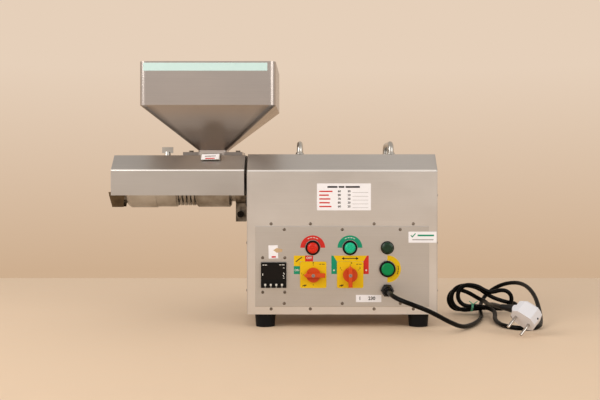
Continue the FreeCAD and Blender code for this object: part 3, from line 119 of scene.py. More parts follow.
class OilPressSizes(bpy.types.PropertyGroup):
    """Sizes of the pieces that the scene adds."""
    cord_diameter: bpy.props.FloatProperty(
        name="Lead diameter", description="Outside diameter of the mains lead", default=0.0086, unit="LENGTH")
    cord_length: bpy.props.FloatProperty(
        name="Lead length", description="Length of the lead from the gland to the plug", default=2.04,
        unit="LENGTH")
    lamp_arc_outer: bpy.props.FloatProperty(
        name="Lamp arc radius", description="Outer radius of the printed arc over a lamp", default=0.0235,
        unit="LENGTH")
    lamp_arc_inner: bpy.props.FloatProperty(
        name="Lamp arc opening", description="Inner radius of the printed arc over a lamp", default=0.0148,
        unit="LENGTH")
    tie_width: bpy.props.FloatProperty(
        name="Tie width", description="Width of the tie round the hank", default=0.0045, unit="LENGTH")


class OilPressColours(bpy.types.PropertyGroup):
    """Colours of the finishes, as they look in even light."""
    steel: bpy.props.FloatVectorProperty(
        name="Brushed steel", description="Case and cover sheet", subtype="COLOR", size=3,
        default=hex_colour("dad7d4"))
    funnel: bpy.props.FloatVectorProperty(
        name="Hopper steel", description="Hopper sheet, dulled by oil", subtype="COLOR", size=3,
        default=hex_colour("bcb4af"))
    switch_yellow: bpy.props.FloatVectorProperty(
        name="Switch yellow", description="Cam switch plates and legends", subtype="COLOR", size=3,
        default=hex_colour("e7c00d"))
    knob: bpy.props.FloatVectorProperty(
        name="Knob red", description="Cam switch knobs", subtype="COLOR", size=3,
        default=hex_colour("d04a12"))
    lamp_red: bpy.props.FloatVectorProperty(
        name="Lamp red", description="Heater lamp's lens", subtype="COLOR", size=3,
        default=hex_colour("c81f07"))
    lamp_green: bpy.props.FloatVectorProperty(
        name="Lamp green", description="Motor lamp's lens", subtype="COLOR", size=3,
        default=hex_colour("00b386"))
    floor: bpy.props.FloatVectorProperty(
        name="Floor", description="Studio floor", subtype="COLOR", size=3, default=hex_colour("e5cbaf"))
    backdrop: bpy.props.FloatVectorProperty(
        name="Backdrop", description="Wall behind the press", subtype="COLOR", size=3,
        default=hex_colour("e6d0ba"))
    front_wall: bpy.props.FloatVectorProperty(
        name="Front wall", description="Wall behind the operator, seen only in the steel", subtype="COLOR",
        size=3, default=hex_colour("ece7e2"))
    ceiling: bpy.props.FloatVectorProperty(
        name="Ceiling", description="Ceiling, seen only in the steel", subtype="COLOR", size=3,
        default=hex_colour("cec5bc"))


def sizes():
    """The add-on's sizes in this scene."""
    return bpy.context.scene.oil_press_sizes


def colours():
    """The add-on's colours in this scene."""
    return bpy.context.scene.oil_press_colours


# Materials
def add(tree, kind, inputs=None, **settings):
    """One node with its settings, and its inputs as values or links."""
    made = tree.nodes.new("ShaderNode" + kind)
    for key, value in settings.items():
        setattr(made, key, value)
    for key, value in (inputs or {}).items():
        if isinstance(value, bpy.types.NodeSocket):
            tree.links.new(value, made.inputs[key])
        else:
            made.inputs[key].default_value = value
    return made


def new_material(name):
    """An empty node material."""
    made = bpy.data.materials.new(name)
    made.use_nodes = True
    made.node_tree.nodes.clear()
    return made


def finish_material(made, shader):
    """The material with its shader joined to its output."""
    add(made.node_tree, "OutputMaterial", {"Surface": shader.outputs[0]})
    return made


def place_of(tree, scale=(1, 1, 1)):
    """Object coordinates, stretched by the given scale."""
    coordinates = add(tree, "TexCoord")
    mapping = add(tree, "Mapping", {"Vector": coordinates.outputs["Object"], "Scale": scale})
    return mapping.outputs["Vector"]


def blend_colours(tree, share, low, high):
    """Socket of a colour between low and high, by the share of high."""
    mixed = add(tree, "Mix", data_type="RGBA")
    for socket, value in ((0, share), (6, low), (7, high)):
        if isinstance(value, bpy.types.NodeSocket):
            tree.links.new(value, mixed.inputs[socket])
        else:
            mixed.inputs[socket].default_value = value if socket == 0 else (*value[:3], 1)
    return mixed.outputs[2]


def ranged(tree, value, low, high, start=0.0, stop=1.0):
    """Socket that runs from low to high while the value runs from start to stop."""
    made = add(tree, "MapRange", {"Value": value, "From Min": start, "From Max": stop, "To Min": low,
                                  "To Max": high})
    return made.outputs["Result"]


def shade(colour, factor):
    """A colour made darker or lighter by a factor."""
    return [c * factor for c in colour[:3]]


def brushed(name, colour, along="X", roughness=0.34, marks=()):
    """Brushed stainless sheet: fine lines along one axis, faint smears, and marks of other colours, which are
    painted highlights, painted light and painted shade.
    """
    made = new_material(name)
    tree = made.node_tree
    # Real brushing is about 0.1 mm apart; it is drawn 0.6 mm apart and 170 mm long so that it shows
    stretch = [6 if axis == along else 1560 for axis in "XYZ"]
    lines = add(tree, "TexNoise", {"Vector": place_of(tree, stretch), "Scale": 1.0, "Detail": 3.0})
    # Hand-sized smears, about 200 mm wide and 110 mm high
    smears = add(tree, "TexNoise", {"Vector": place_of(tree, (5, 5, 9)), "Scale": 1.0, "Detail": 4.0,
                                    "Roughness": 0.6})
    base = blend_colours(tree, smears.outputs[0], shade(colour, 0.9), shade(colour, 1.1))
    tone = blend_colours(tree, ranged(tree, lines.outputs[0], 0.0, 0.5), base, shade(colour, 0.72))
    # Each mark is painted light or shade: where it lies, and the colour laid over the tone there
    for where, mark in marks:
        tone = blend_colours(tree, where(tree), tone, mark)
    rough = ranged(tree, smears.outputs[0], roughness - 0.05, roughness + 0.07, 0.3, 0.7)
    bump = add(tree, "Bump", {"Strength": 0.06, "Distance": 0.0002, "Height": lines.outputs[0]})
    shader = add(tree, "BsdfPrincipled", {"Base Color": tone, "Metallic": 1.0, "Roughness": rough,
                                          "Anisotropic": 0.35, "Normal": bump.outputs[0]})
    return finish_material(made, shader)


def height_of(tree):
    """Height of a place on the piece, in metres."""
    return add(tree, "SeparateXYZ", {"Vector": place_of(tree)}).outputs["Z"]


def reckon(tree, operation, first, second=0.0):
    """Result of one sum on two sockets or numbers."""
    return add(tree, "Math", {0: first, 1: second}, operation=operation).outputs[0]


def painted_fold_highlight(level):
    """Share of the painted highlight, a bright line where a sheet is drawn round its fold, at that height in
    metres.
    """
    def share(tree):
        # The painted highlight is 3 mm wide, with soft edges
        off = reckon(tree, "ABSOLUTE", reckon(tree, "SUBTRACT", height_of(tree), level))
        return ranged(tree, off, 1.0, 0.0, 0.0011, 0.0019)
    return share


def case_lower_painted_light(tree):
    """Share of painted light on the case, making it paler toward its lower edge."""
    return ranged(tree, height_of(tree), 0.48, 0.0, 0.03, 0.29)


def funnel_lower_painted_light(tree):
    """Share of painted light on the funnel, making it paler toward its mouth."""
    return ranged(tree, height_of(tree), 0.3, 0.0, 0.35, 0.41)


def funnel_corner_painted_shade(tree):
    """Share of the painted shade in the funnel's slanting corners, by how near to them a place lies."""
    place = add(tree, "SeparateXYZ", {"Vector": place_of(tree)}).outputs
    nearness = []
    for socket, centre, neck, rim in zip("XY", (HOPPER_X, 0.0), HOPPER_NECK, HOPPER_FOLD):
        half = ranged(tree, place["Z"], neck, rim, HOPPER_NECK[2], HOPPER_FOLD[2])
        off = reckon(tree, "ABSOLUTE", reckon(tree, "SUBTRACT", place[socket], centre))
        nearness.append(reckon(tree, "DIVIDE", off, half))
    corner = ranged(tree, reckon(tree, "MINIMUM", *nearness), 0.0, 0.8, 0.78, 0.93)
    below = ranged(tree, place["Z"], 1.0, 0.0, HOPPER_FOLD[2] - 0.0035, HOPPER_FOLD[2])
    return reckon(tree, "MULTIPLY", corner, below)


def plain_metal(name, colour, roughness, stain=None, scale=60.0, bump_height=0.15):
    """Turned, plated or cast metal: a fine uneven surface with a few darker stains."""
    made = new_material(name)
    tree = made.node_tree
    # Stains to the metre, and fourteen times as many pits: 1.2 mm apart at 60, drawn coarser than real
    spots = add(tree, "TexNoise", {"Vector": place_of(tree), "Scale": scale, "Detail": 5.0})
    fine = add(tree, "TexNoise", {"Vector": place_of(tree), "Scale": scale * 14, "Detail": 2.0})
    tone = blend_colours(tree, ranged(tree, spots.outputs[0], 0.0, 1.0, 0.35, 0.72), colour,
                         stain or shade(colour, 0.75))
    rough = ranged(tree, spots.outputs[0], roughness * 0.85, roughness * 1.25, 0.3, 0.7)
    bump = add(tree, "Bump", {"Strength": bump_height, "Distance": 0.0002, "Height": fine.outputs[0]})
    shader = add(tree, "BsdfPrincipled", {"Base Color": tone, "Metallic": 1.0, "Roughness": rough,
                                          "Normal": bump.outputs[0]})
    return finish_material(made, shader)


def moulded(name, colour, roughness=0.4, grain=900.0, relief=0.12, drift=0.12, specular=0.5):
    """Moulded plastic, rubber, paint or print: a fine grain, and a slight drift in shade and gloss."""
    made = new_material(name)
    tree = made.node_tree
    # Shade drifts over about 36 mm. Grain is 1.1 mm at 900, coarser than a real 0.1 mm so that it shows
    drifted = add(tree, "TexNoise", {"Vector": place_of(tree), "Scale": 28.0, "Detail": 4.0})
    fine = add(tree, "TexNoise", {"Vector": place_of(tree), "Scale": grain, "Detail": 3.0})
    tone = blend_colours(tree, drifted.outputs[0], shade(colour, 1 - drift), shade(colour, 1 + drift))
    rough = ranged(tree, drifted.outputs[0], roughness - 0.05, roughness + 0.08, 0.3, 0.7)
    bump = add(tree, "Bump", {"Strength": relief, "Distance": 0.0002, "Height": fine.outputs[0]})
    shader = add(tree, "BsdfPrincipled", {"Base Color": tone, "Roughness": rough,
                                          "Specular IOR Level": specular, "Normal": bump.outputs[0]})
    return finish_material(made, shader)


def lamp_lens(name, colour, glow):
    """Ribbed translucent lens: cells behind the face catch the light unevenly."""
    made = new_material(name)
    tree = made.node_tree
    # Lens cells about 2 mm across
    cells = add(tree, "TexVoronoi", {"Vector": place_of(tree), "Scale": 520.0}, feature="SMOOTH_F1")
    tone = blend_colours(tree, ranged(tree, cells.outputs["Distance"], 0.0, 1.0, 0.1, 0.8),
                         shade(colour, 1.15), shade(colour, 0.6))
    bump = add(tree, "Bump", {"Strength": 0.25, "Distance": 0.0003, "Height": cells.outputs["Distance"]})
    shader = add(tree, "BsdfPrincipled", {"Base Color": tone, "Roughness": 0.3, "Specular IOR Level": 0.3,
                                          "Coat Weight": 0.15, "Coat Roughness": 0.08,
                                          "Subsurface Weight": 0.25,
                                          "Subsurface Radius": (0.004, 0.004, 0.004),
                                          "Emission Color": (*colour[:3], 1), "Emission Strength": glow,
                                          "Normal": bump.outputs[0]})
    return finish_material(made, shader)


def booted(name, colour, boot_colour, way, end):
    """Plug in one colour and its boot in another: the boot is what lies before end along the way."""
    made = moulded(name, colour, 0.42, 800, 0.1, drift=0.05, specular=0.25)
    tree = made.node_tree
    shader = next(item for item in tree.nodes if item.type == "BSDF_PRINCIPLED")
    shell = shader.inputs["Base Color"].links[0].from_socket
    along = add(tree, "VectorMath", {0: place_of(tree), 1: way}, operation="DOT_PRODUCT")
    share = ranged(tree, along.outputs["Value"], 0.0, 1.0, end - 0.0003, end + 0.0003)
    tree.links.new(blend_colours(tree, share, boot_colour, shell), shader.inputs["Base Color"])
    return made


MADE = {}


def material(name):
    """The finish of that name, made when it is first asked for."""
    if name not in MADE:
        MADE[name] = FINISHES[name]()
    return MADE[name]


def steel(factor=1.0):
    """Colour of the case's sheet, darker by a factor."""
    return shade(colours().steel, factor)


# Colour of the painted highlight along the folds
FOLD_PAINTED_HIGHLIGHT = "fffcf8"
FINISHES = {
    # 304 stainless sheet, brushed along its length: soft streaked sheen, a painted highlight at each fold,
    # and painted light that makes it paler toward its lower edge
    "case_steel": lambda: brushed("brushed stainless case", steel(),
                                  marks=((case_lower_painted_light, hex_colour("f6f5f6")),
                                         (painted_fold_highlight(CASE_FOLD), hex_colour(FOLD_PAINTED_HIGHLIGHT)))),
    # the guard's sheet, darker, with the same painted highlight along its fold
    "cover_steel": lambda: brushed("brushed stainless guard", steel(0.82),
                                   marks=((painted_fold_highlight(COVER_FOLD), hex_colour(FOLD_PAINTED_HIGHLIGHT)),)),
    # the same sheet, duller from oil, with painted light that makes it paler toward the mouth and painted
    # shade in the slanting corners
    "hopper_steel": lambda: brushed("brushed stainless hopper", colours().funnel, roughness=0.28,
                                    marks=((funnel_lower_painted_light, hex_colour("efe7e1")),
                                           (funnel_corner_painted_shade, shade(colours().funnel, 0.4)))),
    # rougher sheet than the case's, so that the panel stands out on it
    "panel_steel": lambda: brushed("brushed stainless panel", steel(0.9), roughness=0.40),
    "inner_steel": lambda: brushed("stainless end plate", steel(0.95), along="Z"),
    # chromed bar: bright, with soft reflections of the room
    "bright_steel": lambda: plain_metal("polished chrome", hex_colour("cdcac4"), 0.28, scale=25,
                                        bump_height=0.02),
    # lathe-turned steel: grey, with brown oil stains about 25 mm wide
    "machined_steel": lambda: plain_metal("turned steel with oil stains", hex_colour("aaa7a2"), 0.38,
                                          hex_colour("7d7468"), 40),
    # zinc plating: dull, with dirt in 5 mm spots
    "screw_steel": lambda: plain_metal("zinc-plated screw", hex_colour("9a9187"), 0.34,
                                       hex_colour("5f564c"), 200),
    # blacked socket screw: dark, with little shine
    "black_bolt": lambda: plain_metal("blacked cap screw", hex_colour("2b2723"), 0.45,
                                      hex_colour("171412"), 150),
    # bare casting, oily and pitted
    "clamp_iron": lambda: plain_metal("oily cast clamp", hex_colour("8d857a"), 0.45,
                                      hex_colour("4b443b"), 90, bump_height=0.6),
    # painted casting: rough skin under grey paint
    "cast_grey": lambda: moulded("painted casting", hex_colour("6d7276"), 0.5, 420, 0.4),
    "motor_paint": lambda: moulded("motor enamel", hex_colour("3c4a5c"), 0.35, 500, 0.15),
    # hobbed steel under oil: darker and glossier than turned steel
    "gear_steel": lambda: plain_metal("oiled gear steel", hex_colour("8f8a83"), 0.28,
                                      hex_colour("5c564e"), 90),
    # band steel tinted by heat, in patches about 45 mm wide
    "heater_mica": lambda: plain_metal("heat-tinted band steel", hex_colour("bcbab7"), 0.34,
                                       hex_colour("989289"), 22),
    # sheet darker and browner than the case's
    "chute_steel": lambda: plain_metal("dark brown chute sheet", hex_colour("7b6c58"), 0.42,
                                       hex_colour("524637"), 35),
    # moulded ABS and rubber: near black, with a faint grain
    "black_plastic": lambda: moulded("black ABS", hex_colour("0c0b0b"), 0.42, specular=0.16),
    "black_rubber": lambda: moulded("black rubber foot", hex_colour("0b0a0c"), 0.55, 600, 0.3, specular=0.18),
    # moulded plates, knobs and caps: strong even colours, with a soft highlight
    "yellow_plate": lambda: moulded("yellow switch plate", colours().switch_yellow, 0.4, relief=0.05,
                                    drift=0.04, specular=0.2),
    "knob_red": lambda: moulded("orange-red knob", colours().knob, 0.34, 500, 0.08, specular=0.3),
    "button_green": lambda: moulded("green push button", hex_colour("058a4e"), 0.34, relief=0.05,
                                    specular=0.15),
    "key_white": lambda: moulded("white silicone key", hex_colour("dcdad2"), 0.5),
    # ribbed lenses, two of them lit, so that they look deeper and brighter than print of their colour
    "lens_red": lambda: lamp_lens("red lamp lens", colours().lamp_red, 0.25),
    "lens_green": lambda: lamp_lens("green lamp lens", colours().lamp_green, 0.2),
    "lens_dark": lambda: lamp_lens("unlit green lens", hex_colour("0d3320"), 0.0),
    # smooth acrylic: the one glossy black on the front
    "window_dark": lambda: moulded("smoked display window", hex_colour("0e0b0c"), 0.2, relief=0.01,
                                   specular=0.2),
    "can_aluminium": lambda: plain_metal("aluminium can", hex_colour("c4c4c2"), 0.3, scale=30),
    # PVC sheath: black, with thin highlights along it
    "cord_black": lambda: moulded("black PVC lead", hex_colour("050504"), 0.3, 700, 0.2, drift=0.2,
                                  specular=0.1),
    "tie_green": lambda: moulded("green tie", hex_colour("6fbf9e"), 0.5, 800, 0.3, specular=0.2),
    # pale moulded plug on a black boot
    "plug_grey": lambda: booted("pale grey plug with a black boot", hex_colour("dddde3"),
                                hex_colour("080808"), BOOT_WAY, BOOT_END),
    "pin_metal": lambda: plain_metal("nickel-plated pin", hex_colour("c8c2bc"), 0.24, scale=80),
    # vinyl labels: smooth and flat, paler than anything round them
    "paper_white": lambda: moulded("white vinyl label", hex_colour("f6f6fb"), 0.5, 500, 0.06, drift=0.03,
                                   specular=0.2),
    "paper_mint": lambda: moulded("pale mint vinyl strip", hex_colour("cfeeee"), 0.5, 500, 0.05, drift=0.04,
                                  specular=0.2),
    # screen-printing ink: flat colour with almost no relief
    "print_black": lambda: moulded("black printing", hex_colour("1c1a1a"), 0.5, relief=0.02, specular=0.2),
    "print_red": lambda: moulded("red printing", hex_colour("cf2f27"), 0.5, relief=0.03, drift=0.05,
                                 specular=0.2),
    "print_green": lambda: moulded("green printing", hex_colour("129470"), 0.5, relief=0.03, drift=0.05,
                                   specular=0.2),
    "print_grey": lambda: moulded("grey printing", hex_colour("8d8a88"), 0.5, relief=0.02),
    "print_white": lambda: moulded("white printing", hex_colour("dad8d2"), 0.5, relief=0.02),
    "print_tan": lambda: moulded("tan printing", hex_colour("c9ab84"), 0.5, relief=0.02),
}


# Shapes
def finished(mesh, name, finish, body="base", smooth=False):
    """A bmesh in metres made an object with its material, riding on a body."""
    data = bpy.data.meshes.new(name)
    bmesh.ops.recalc_face_normals(mesh, faces=mesh.faces)
    mesh.to_mesh(data)
    mesh.free()
    piece = bpy.data.objects.new(name, data)
    bpy.context.scene.collection.objects.link(piece)
    data.materials.append(material(finish))
    if smooth:
        for face in data.polygons:
            face.use_smooth = True
    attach(piece, body)
    return piece


def slab(mesh, corners, back, gauge):
    """A flat plate from its outline in X and Z, raised from Y = back toward the front, in millimetres."""
    ring = [mesh.verts.new((x * MM, back * MM, z * MM)) for x, z in corners]
    face = mesh.faces.new(ring)
    raised = bmesh.ops.extrude_face_region(mesh, geom=[face])
    moved = [item for item in raised["geom"] if isinstance(item, bmesh.types.BMVert)]
    bmesh.ops.translate(mesh, verts=moved, vec=(0, -gauge * MM, 0))


def rectangle(x0, x1, z0, z1, corner=0.0):
    """Corners of an upright rectangle, rounded if asked."""
    if not corner:
        return [(x0, z0), (x1, z0), (x1, z1), (x0, z1)]
    points = []
    for cx, cz, first in ((x1 - corner, z0 + corner, -90), (x1 - corner, z1 - corner, 0),
                          (x0 + corner, z1 - corner, 90), (x0 + corner, z0 + corner, 180)):
        for step in range(4):
            turn = math.radians(first + 30 * step)
            points.append((cx + corner * math.cos(turn), cz + corner * math.sin(turn)))
    return points


def bar(x0, z0, x1, z1, width):
    """Corners of a straight stroke between two places."""
    along = Vector((x1 - x0, z1 - z0)).normalized() * width / 2
    return [(x0 + along.y, z0 - along.x), (x1 + along.y, z1 - along.x), (x1 - along.y, z1 + along.x),
            (x0 - along.y, z0 + along.x)]


def discs(name, places, radius, back, gauge, finish, body="base"):
    """One piece of several low round buttons or dots on the same plane."""
    mesh = bmesh.new()
    for x, z in places:
        made = bmesh.ops.create_cone(mesh, segments=24, radius1=radius * MM, radius2=radius * 0.94 * MM,
                                     depth=gauge * MM, cap_ends=True)
        bmesh.ops.rotate(mesh, verts=made["verts"], cent=(0, 0, 0),
                         matrix=Matrix.Rotation(math.pi / 2, 3, "X"))
        bmesh.ops.translate(mesh, verts=made["verts"], vec=(x * MM, (back - gauge / 2) * MM, z * MM))
    return finished(mesh, name, finish, body)


def plates(name, outlines, back, finish, body="base", gauge=LABEL_GAUGE):
    """One piece of several flat plates on the same plane."""
    mesh = bmesh.new()
    for outline in outlines:
        slab(mesh, outline, back, gauge)
    return finished(mesh, name, finish, body)


def prints(name, outlines, back, finish, body="base"):
    """One piece of several flat marks of ink on the same plane."""
    return plates(name, outlines, back, finish, body, PRINT_GAUGE)


def half_ring(name, place, inner, outer, start, finish):
    """Flat half annulus on the panel round a lamp or button, from its start angle through half a turn."""
    mesh = bmesh.new()
    corners = [(inner, 0), (outer, 0), (outer, -LABEL_GAUGE * MM), (inner, -LABEL_GAUGE * MM)]
    ring = [mesh.verts.new((radius, depth, 0)) for radius, depth in corners]
    face = mesh.faces.new(ring)
    bmesh.ops.rotate(mesh, verts=ring, cent=(0, 0, 0), matrix=Matrix.Rotation(-math.radians(start), 3, "Y"))
    bmesh.ops.spin(mesh, geom=[face, *face.edges, *ring], cent=(0, 0, 0), axis=(0, -1, 0), angle=math.pi,
                   steps=32)
    bmesh.ops.translate(mesh, verts=mesh.verts, vec=(place[0] * MM, PANEL_FACE * MM, place[1] * MM))
    return finished(mesh, name, finish)


def lettering(name, text, x, z, height, back, finish, body="base"):
    """A plain numeral or ON/OFF mark as a thin raised mesh, centred on its place, in millimetres."""
    curve = bpy.data.curves.new(name, "FONT")
    curve.body = text
    # A capital of this face is 1 / 1.35 of its size; the offset thickens its strokes
    curve.size = height * MM * 1.35
    curve.align_x = "CENTER"
    curve.align_y = "CENTER"
    # 0.12 mm thick, with its back 0.01 mm inside the face
    curve.extrude = 0.00006
    curve.offset = height * MM * 0.035
    curve.resolution_u = 3
    source = bpy.data.objects.new(name + "_text", curve)
    bpy.context.scene.collection.objects.link(source)
    bpy.context.view_layer.update()
    data = bpy.data.meshes.new_from_object(source)
    bpy.data.objects.remove(source)
    mesh = bmesh.new()
    mesh.from_mesh(data)
    bmesh.ops.rotate(mesh, verts=mesh.verts, cent=(0, 0, 0), matrix=Matrix.Rotation(math.pi / 2, 3, "X"))
    bmesh.ops.translate(mesh, verts=mesh.verts, vec=(x * MM, (back - PRINT_GAUGE / 2) * MM, z * MM))
    bpy.data.meshes.remove(data)
    return finished(mesh, name, finish, body)


# Lead
def loop_points(cx, cz, radius, depth, last):
    """A left-hand loop of the hank, clockwise seen from the front, from its lowest point over its top."""
    # The line runs inside its control points, so these stand a little farther out
    reach = radius / 0.965
    turns = [math.radians(degrees) for degrees in range(-90, last - 361, -35)]
    return [(cx + reach * math.cos(turn), depth, cz + reach * math.sin(turn)) for turn in turns]


def lead_route():
    """Control points of the whole lead, in metres."""
    first, second, third = (loop_points(*loop) for loop in LEFT_LOOPS)
    route = [*LEAD_TO_HANK, *HANK_ENTRY, *first, *FIRST_RIGHT, *second, *SECOND_RIGHT, *third, *HANK_EXIT,
             *LEAD_TO_PLUG]
    return [(x * MM, y * MM, z * MM) for x, y, z in route]


class OILPRESS_OT_camera(bpy.types.Operator):
    """Camera at the photograph's place and lens"""
    bl_idname = "oilpress.camera"
    bl_label = "Camera"

    def execute(self, context):
        lens = bpy.data.cameras.new("camera")
        lens.lens = LENS
        lens.sensor_width = 36
        lens.shift_x, lens.shift_y = PICTURE_SHIFT
        lens.clip_end = 50
        eye = bpy.data.objects.new("camera", lens)
        eye.location = EYE
        eye.rotation_euler = (math.pi / 2, 0, 0)
        context.scene.collection.objects.link(eye)
        context.scene.camera = eye
        return {"FINISHED"}


class OILPRESS_OT_mains_lead(bpy.types.Operator):
    """Mains lead on one smooth line, its hank, and the tie that holds it"""
    bl_idname = "oilpress.mains_lead"
    bl_label = "Mains lead"

    def execute(self, context):
        route = lead_route()
        curve = bpy.data.curves.new("mains_lead", "CURVE")
        curve.dimensions = "3D"
        curve.bevel_depth = sizes().cord_diameter / 2
        curve.bevel_resolution = 4
        curve.resolution_u = 6
        curve.use_fill_caps = True
        line = curve.splines.new("NURBS")
        line.points.add(len(route) - 1)
        for point, place in zip(line.points, route):
            point.co = (*place, 1)
        line.order_u = 3
        line.use_endpoint_u = True
        curve.materials.append(material("cord_black"))
        lead = bpy.data.objects.new("mains_lead", curve)
        context.scene.collection.objects.link(lead)
        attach(lead, "base")
        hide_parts("power_cord", "cord_hank")
        tie = self.tie()
        # painted shade of the plug's screw recess
        self.recess()
        return {"FINISHED"}

    def recess(self):
        """Black low disc, square to the plug's slanting side: the painted shade of a screw recess."""
        place, outward = (0.3452, -0.20175, 0.0328), Vector((0.505, -0.857, 0.1))
        mesh = bmesh.new()
        bmesh.ops.create_cone(mesh, segments=20, radius1=0.0019, radius2=0.0017, depth=0.0004, cap_ends=True)
        bmesh.ops.rotate(mesh, verts=mesh.verts, cent=(0, 0, 0),
                         matrix=outward.to_track_quat("Z", "Y").to_matrix())
        bmesh.ops.translate(mesh, verts=mesh.verts, vec=place)
        return finished(mesh, "plug_recess_painted_shade", "black_plastic")

    def tie(self):
        """Flat tie drawn round the three lower strands, with its twisted ends at the top."""
        reach = (sizes().cord_diameter / 2 + 0.0006) / MM
        left = 0.2725
        mesh = bmesh.new()
        ring = bmesh.ops.create_circle(mesh, segments=48, radius=1)["verts"]
        for vert in ring:
            way = Vector((vert.co.x, vert.co.y)).normalized()
            y, z = max(TIED_STRANDS, key=lambda place: place[0] * way.x + place[1] * way.y)
            vert.co = (left, (y + reach * way.x) * MM, (z + reach * way.y) * MM)
        band = bmesh.ops.extrude_edge_only(mesh, edges=mesh.edges[:])
        moved = [item for item in band["geom"] if isinstance(item, bmesh.types.BMVert)]
        bmesh.ops.translate(mesh, verts=moved, vec=(sizes().tie_width, 0, 0))
        bmesh.ops.recalc_face_normals(mesh, faces=mesh.faces)
        bmesh.ops.solidify(mesh, geom=mesh.faces[:], thickness=0.0008)
        for lean in (-1, 1):
            end = bmesh.ops.create_cone(mesh, segments=8, radius1=0.0011, radius2=0.0009, depth=0.012,
                                        cap_ends=True)
            bmesh.ops.rotate(mesh, verts=end["verts"], cent=(0, 0, 0),
                             matrix=Matrix.Rotation(math.radians(52 * lean), 3, "Y"))
            bmesh.ops.translate(mesh, verts=end["verts"], vec=(left + 0.004 + 0.004 * lean, 0.0476, 0.0262))
        piece = finished(mesh, "hank_tie", "tie_green", smooth=True)
        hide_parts("cord_tie")
        return piece


class OILPRESS_OT_finishes(bpy.types.Operator):
    """Gives every sub-part of the frame the finish of its material slot"""
    bl_idname = "oilpress.finishes"
    bl_label = "Finishes"

    def execute(self, context):
        special = {"hopper": "hopper_steel", "cake_chute": "chute_steel", "left_end_plate": "inner_steel",
                   "right_end_plate": "inner_steel", "press_head": "heater_mica", "clamp_screw": "black_bolt",
                   "barrel_clamp": "clamp_iron"}
        special.update(("controller_key_%d" % number, "black_plastic") for number in (1, 2, 3, 4))
        slots = {part["node"]: part["material_slot"] for part in frame["record"]["subparts"]}
        for name, piece in frame["nodes"].items():
            finish = material(special.get(name, slots[name]))
            piece.data.materials.clear()
            piece.data.materials.append(finish)
        return {"FINISHED"}


class OILPRESS_OT_chute_cheeks(bpy.types.Operator):
    """Sheet cheeks that close the cake chute's sides round the nozzle"""
    bl_idname = "oilpress.chute_cheeks"
    bl_label = "Chute cheeks"

    def execute(self, context):
        corners = [(-460.6, 20.4, 250), (-455.4, 13.7, 226.2), (-433, 13.7, 226.2), (-430.5, 20.4, 250)]
        for side, name in ((-1, "front"), (1, "back")):
            mesh = bmesh.new()
            ring = [mesh.verts.new((x * MM, side * y * MM, z * MM)) for x, y, z in corners]
            sheet = bmesh.ops.extrude_face_region(mesh, geom=[mesh.faces.new(ring)])
            moved = [item for item in sheet["geom"] if isinstance(item, bmesh.types.BMVert)]
            bmesh.ops.translate(mesh, verts=moved, vec=(0, side * 0.6 * MM, 0))
            finished(mesh, "chute_cheek_" + name, "chute_steel")
        return {"FINISHED"}


class OILPRESS_OT_lamp_arcs(bpy.types.Operator):
    """Printed arcs over the lamps and beside the button"""
    bl_idname = "oilpress.lamp_arcs"
    bl_label = "Lamp arcs"

    def execute(self, context):
        inner, outer = sizes().lamp_arc_inner, sizes().lamp_arc_outer
        half_ring("heater_lamp_arc", HEATER_LAMP, inner, outer, 0, "print_red")
        half_ring("motor_lamp_arc", MOTOR_LAMP, inner, outer, 0, "print_green")
        half_ring("reset_button_arc", RESET_BUTTON, 0.016, 0.0258, -90, "yellow_plate")
        self.strokes("heater_arc_marks", HEATER_LAMP, 19.3, (66, 82, 98, 114), "print_white")
        self.strokes("motor_arc_marks", MOTOR_LAMP, 19.3, (66, 82, 98, 114), "print_white")
        self.strokes("reset_arc_marks", RESET_BUTTON, 21, (-24, -12, 0, 12), "print_black")
        return {"FINISHED"}

    def strokes(self, name, centre, radius, bearings, finish):
        """Short strokes along an arc, in the place of its lettering."""
        made = []
        for degrees in bearings:
            turn = math.radians(degrees)
            out, along = Vector((math.cos(turn), math.sin(turn))), Vector((-math.sin(turn), math.cos(turn)))
            middle = Vector(centre) + radius * out
            made.append(bar(*(middle - 1.9 * along), *(middle + 1.9 * along), 1.3))
        prints(name, made, PANEL_PRINT, finish)


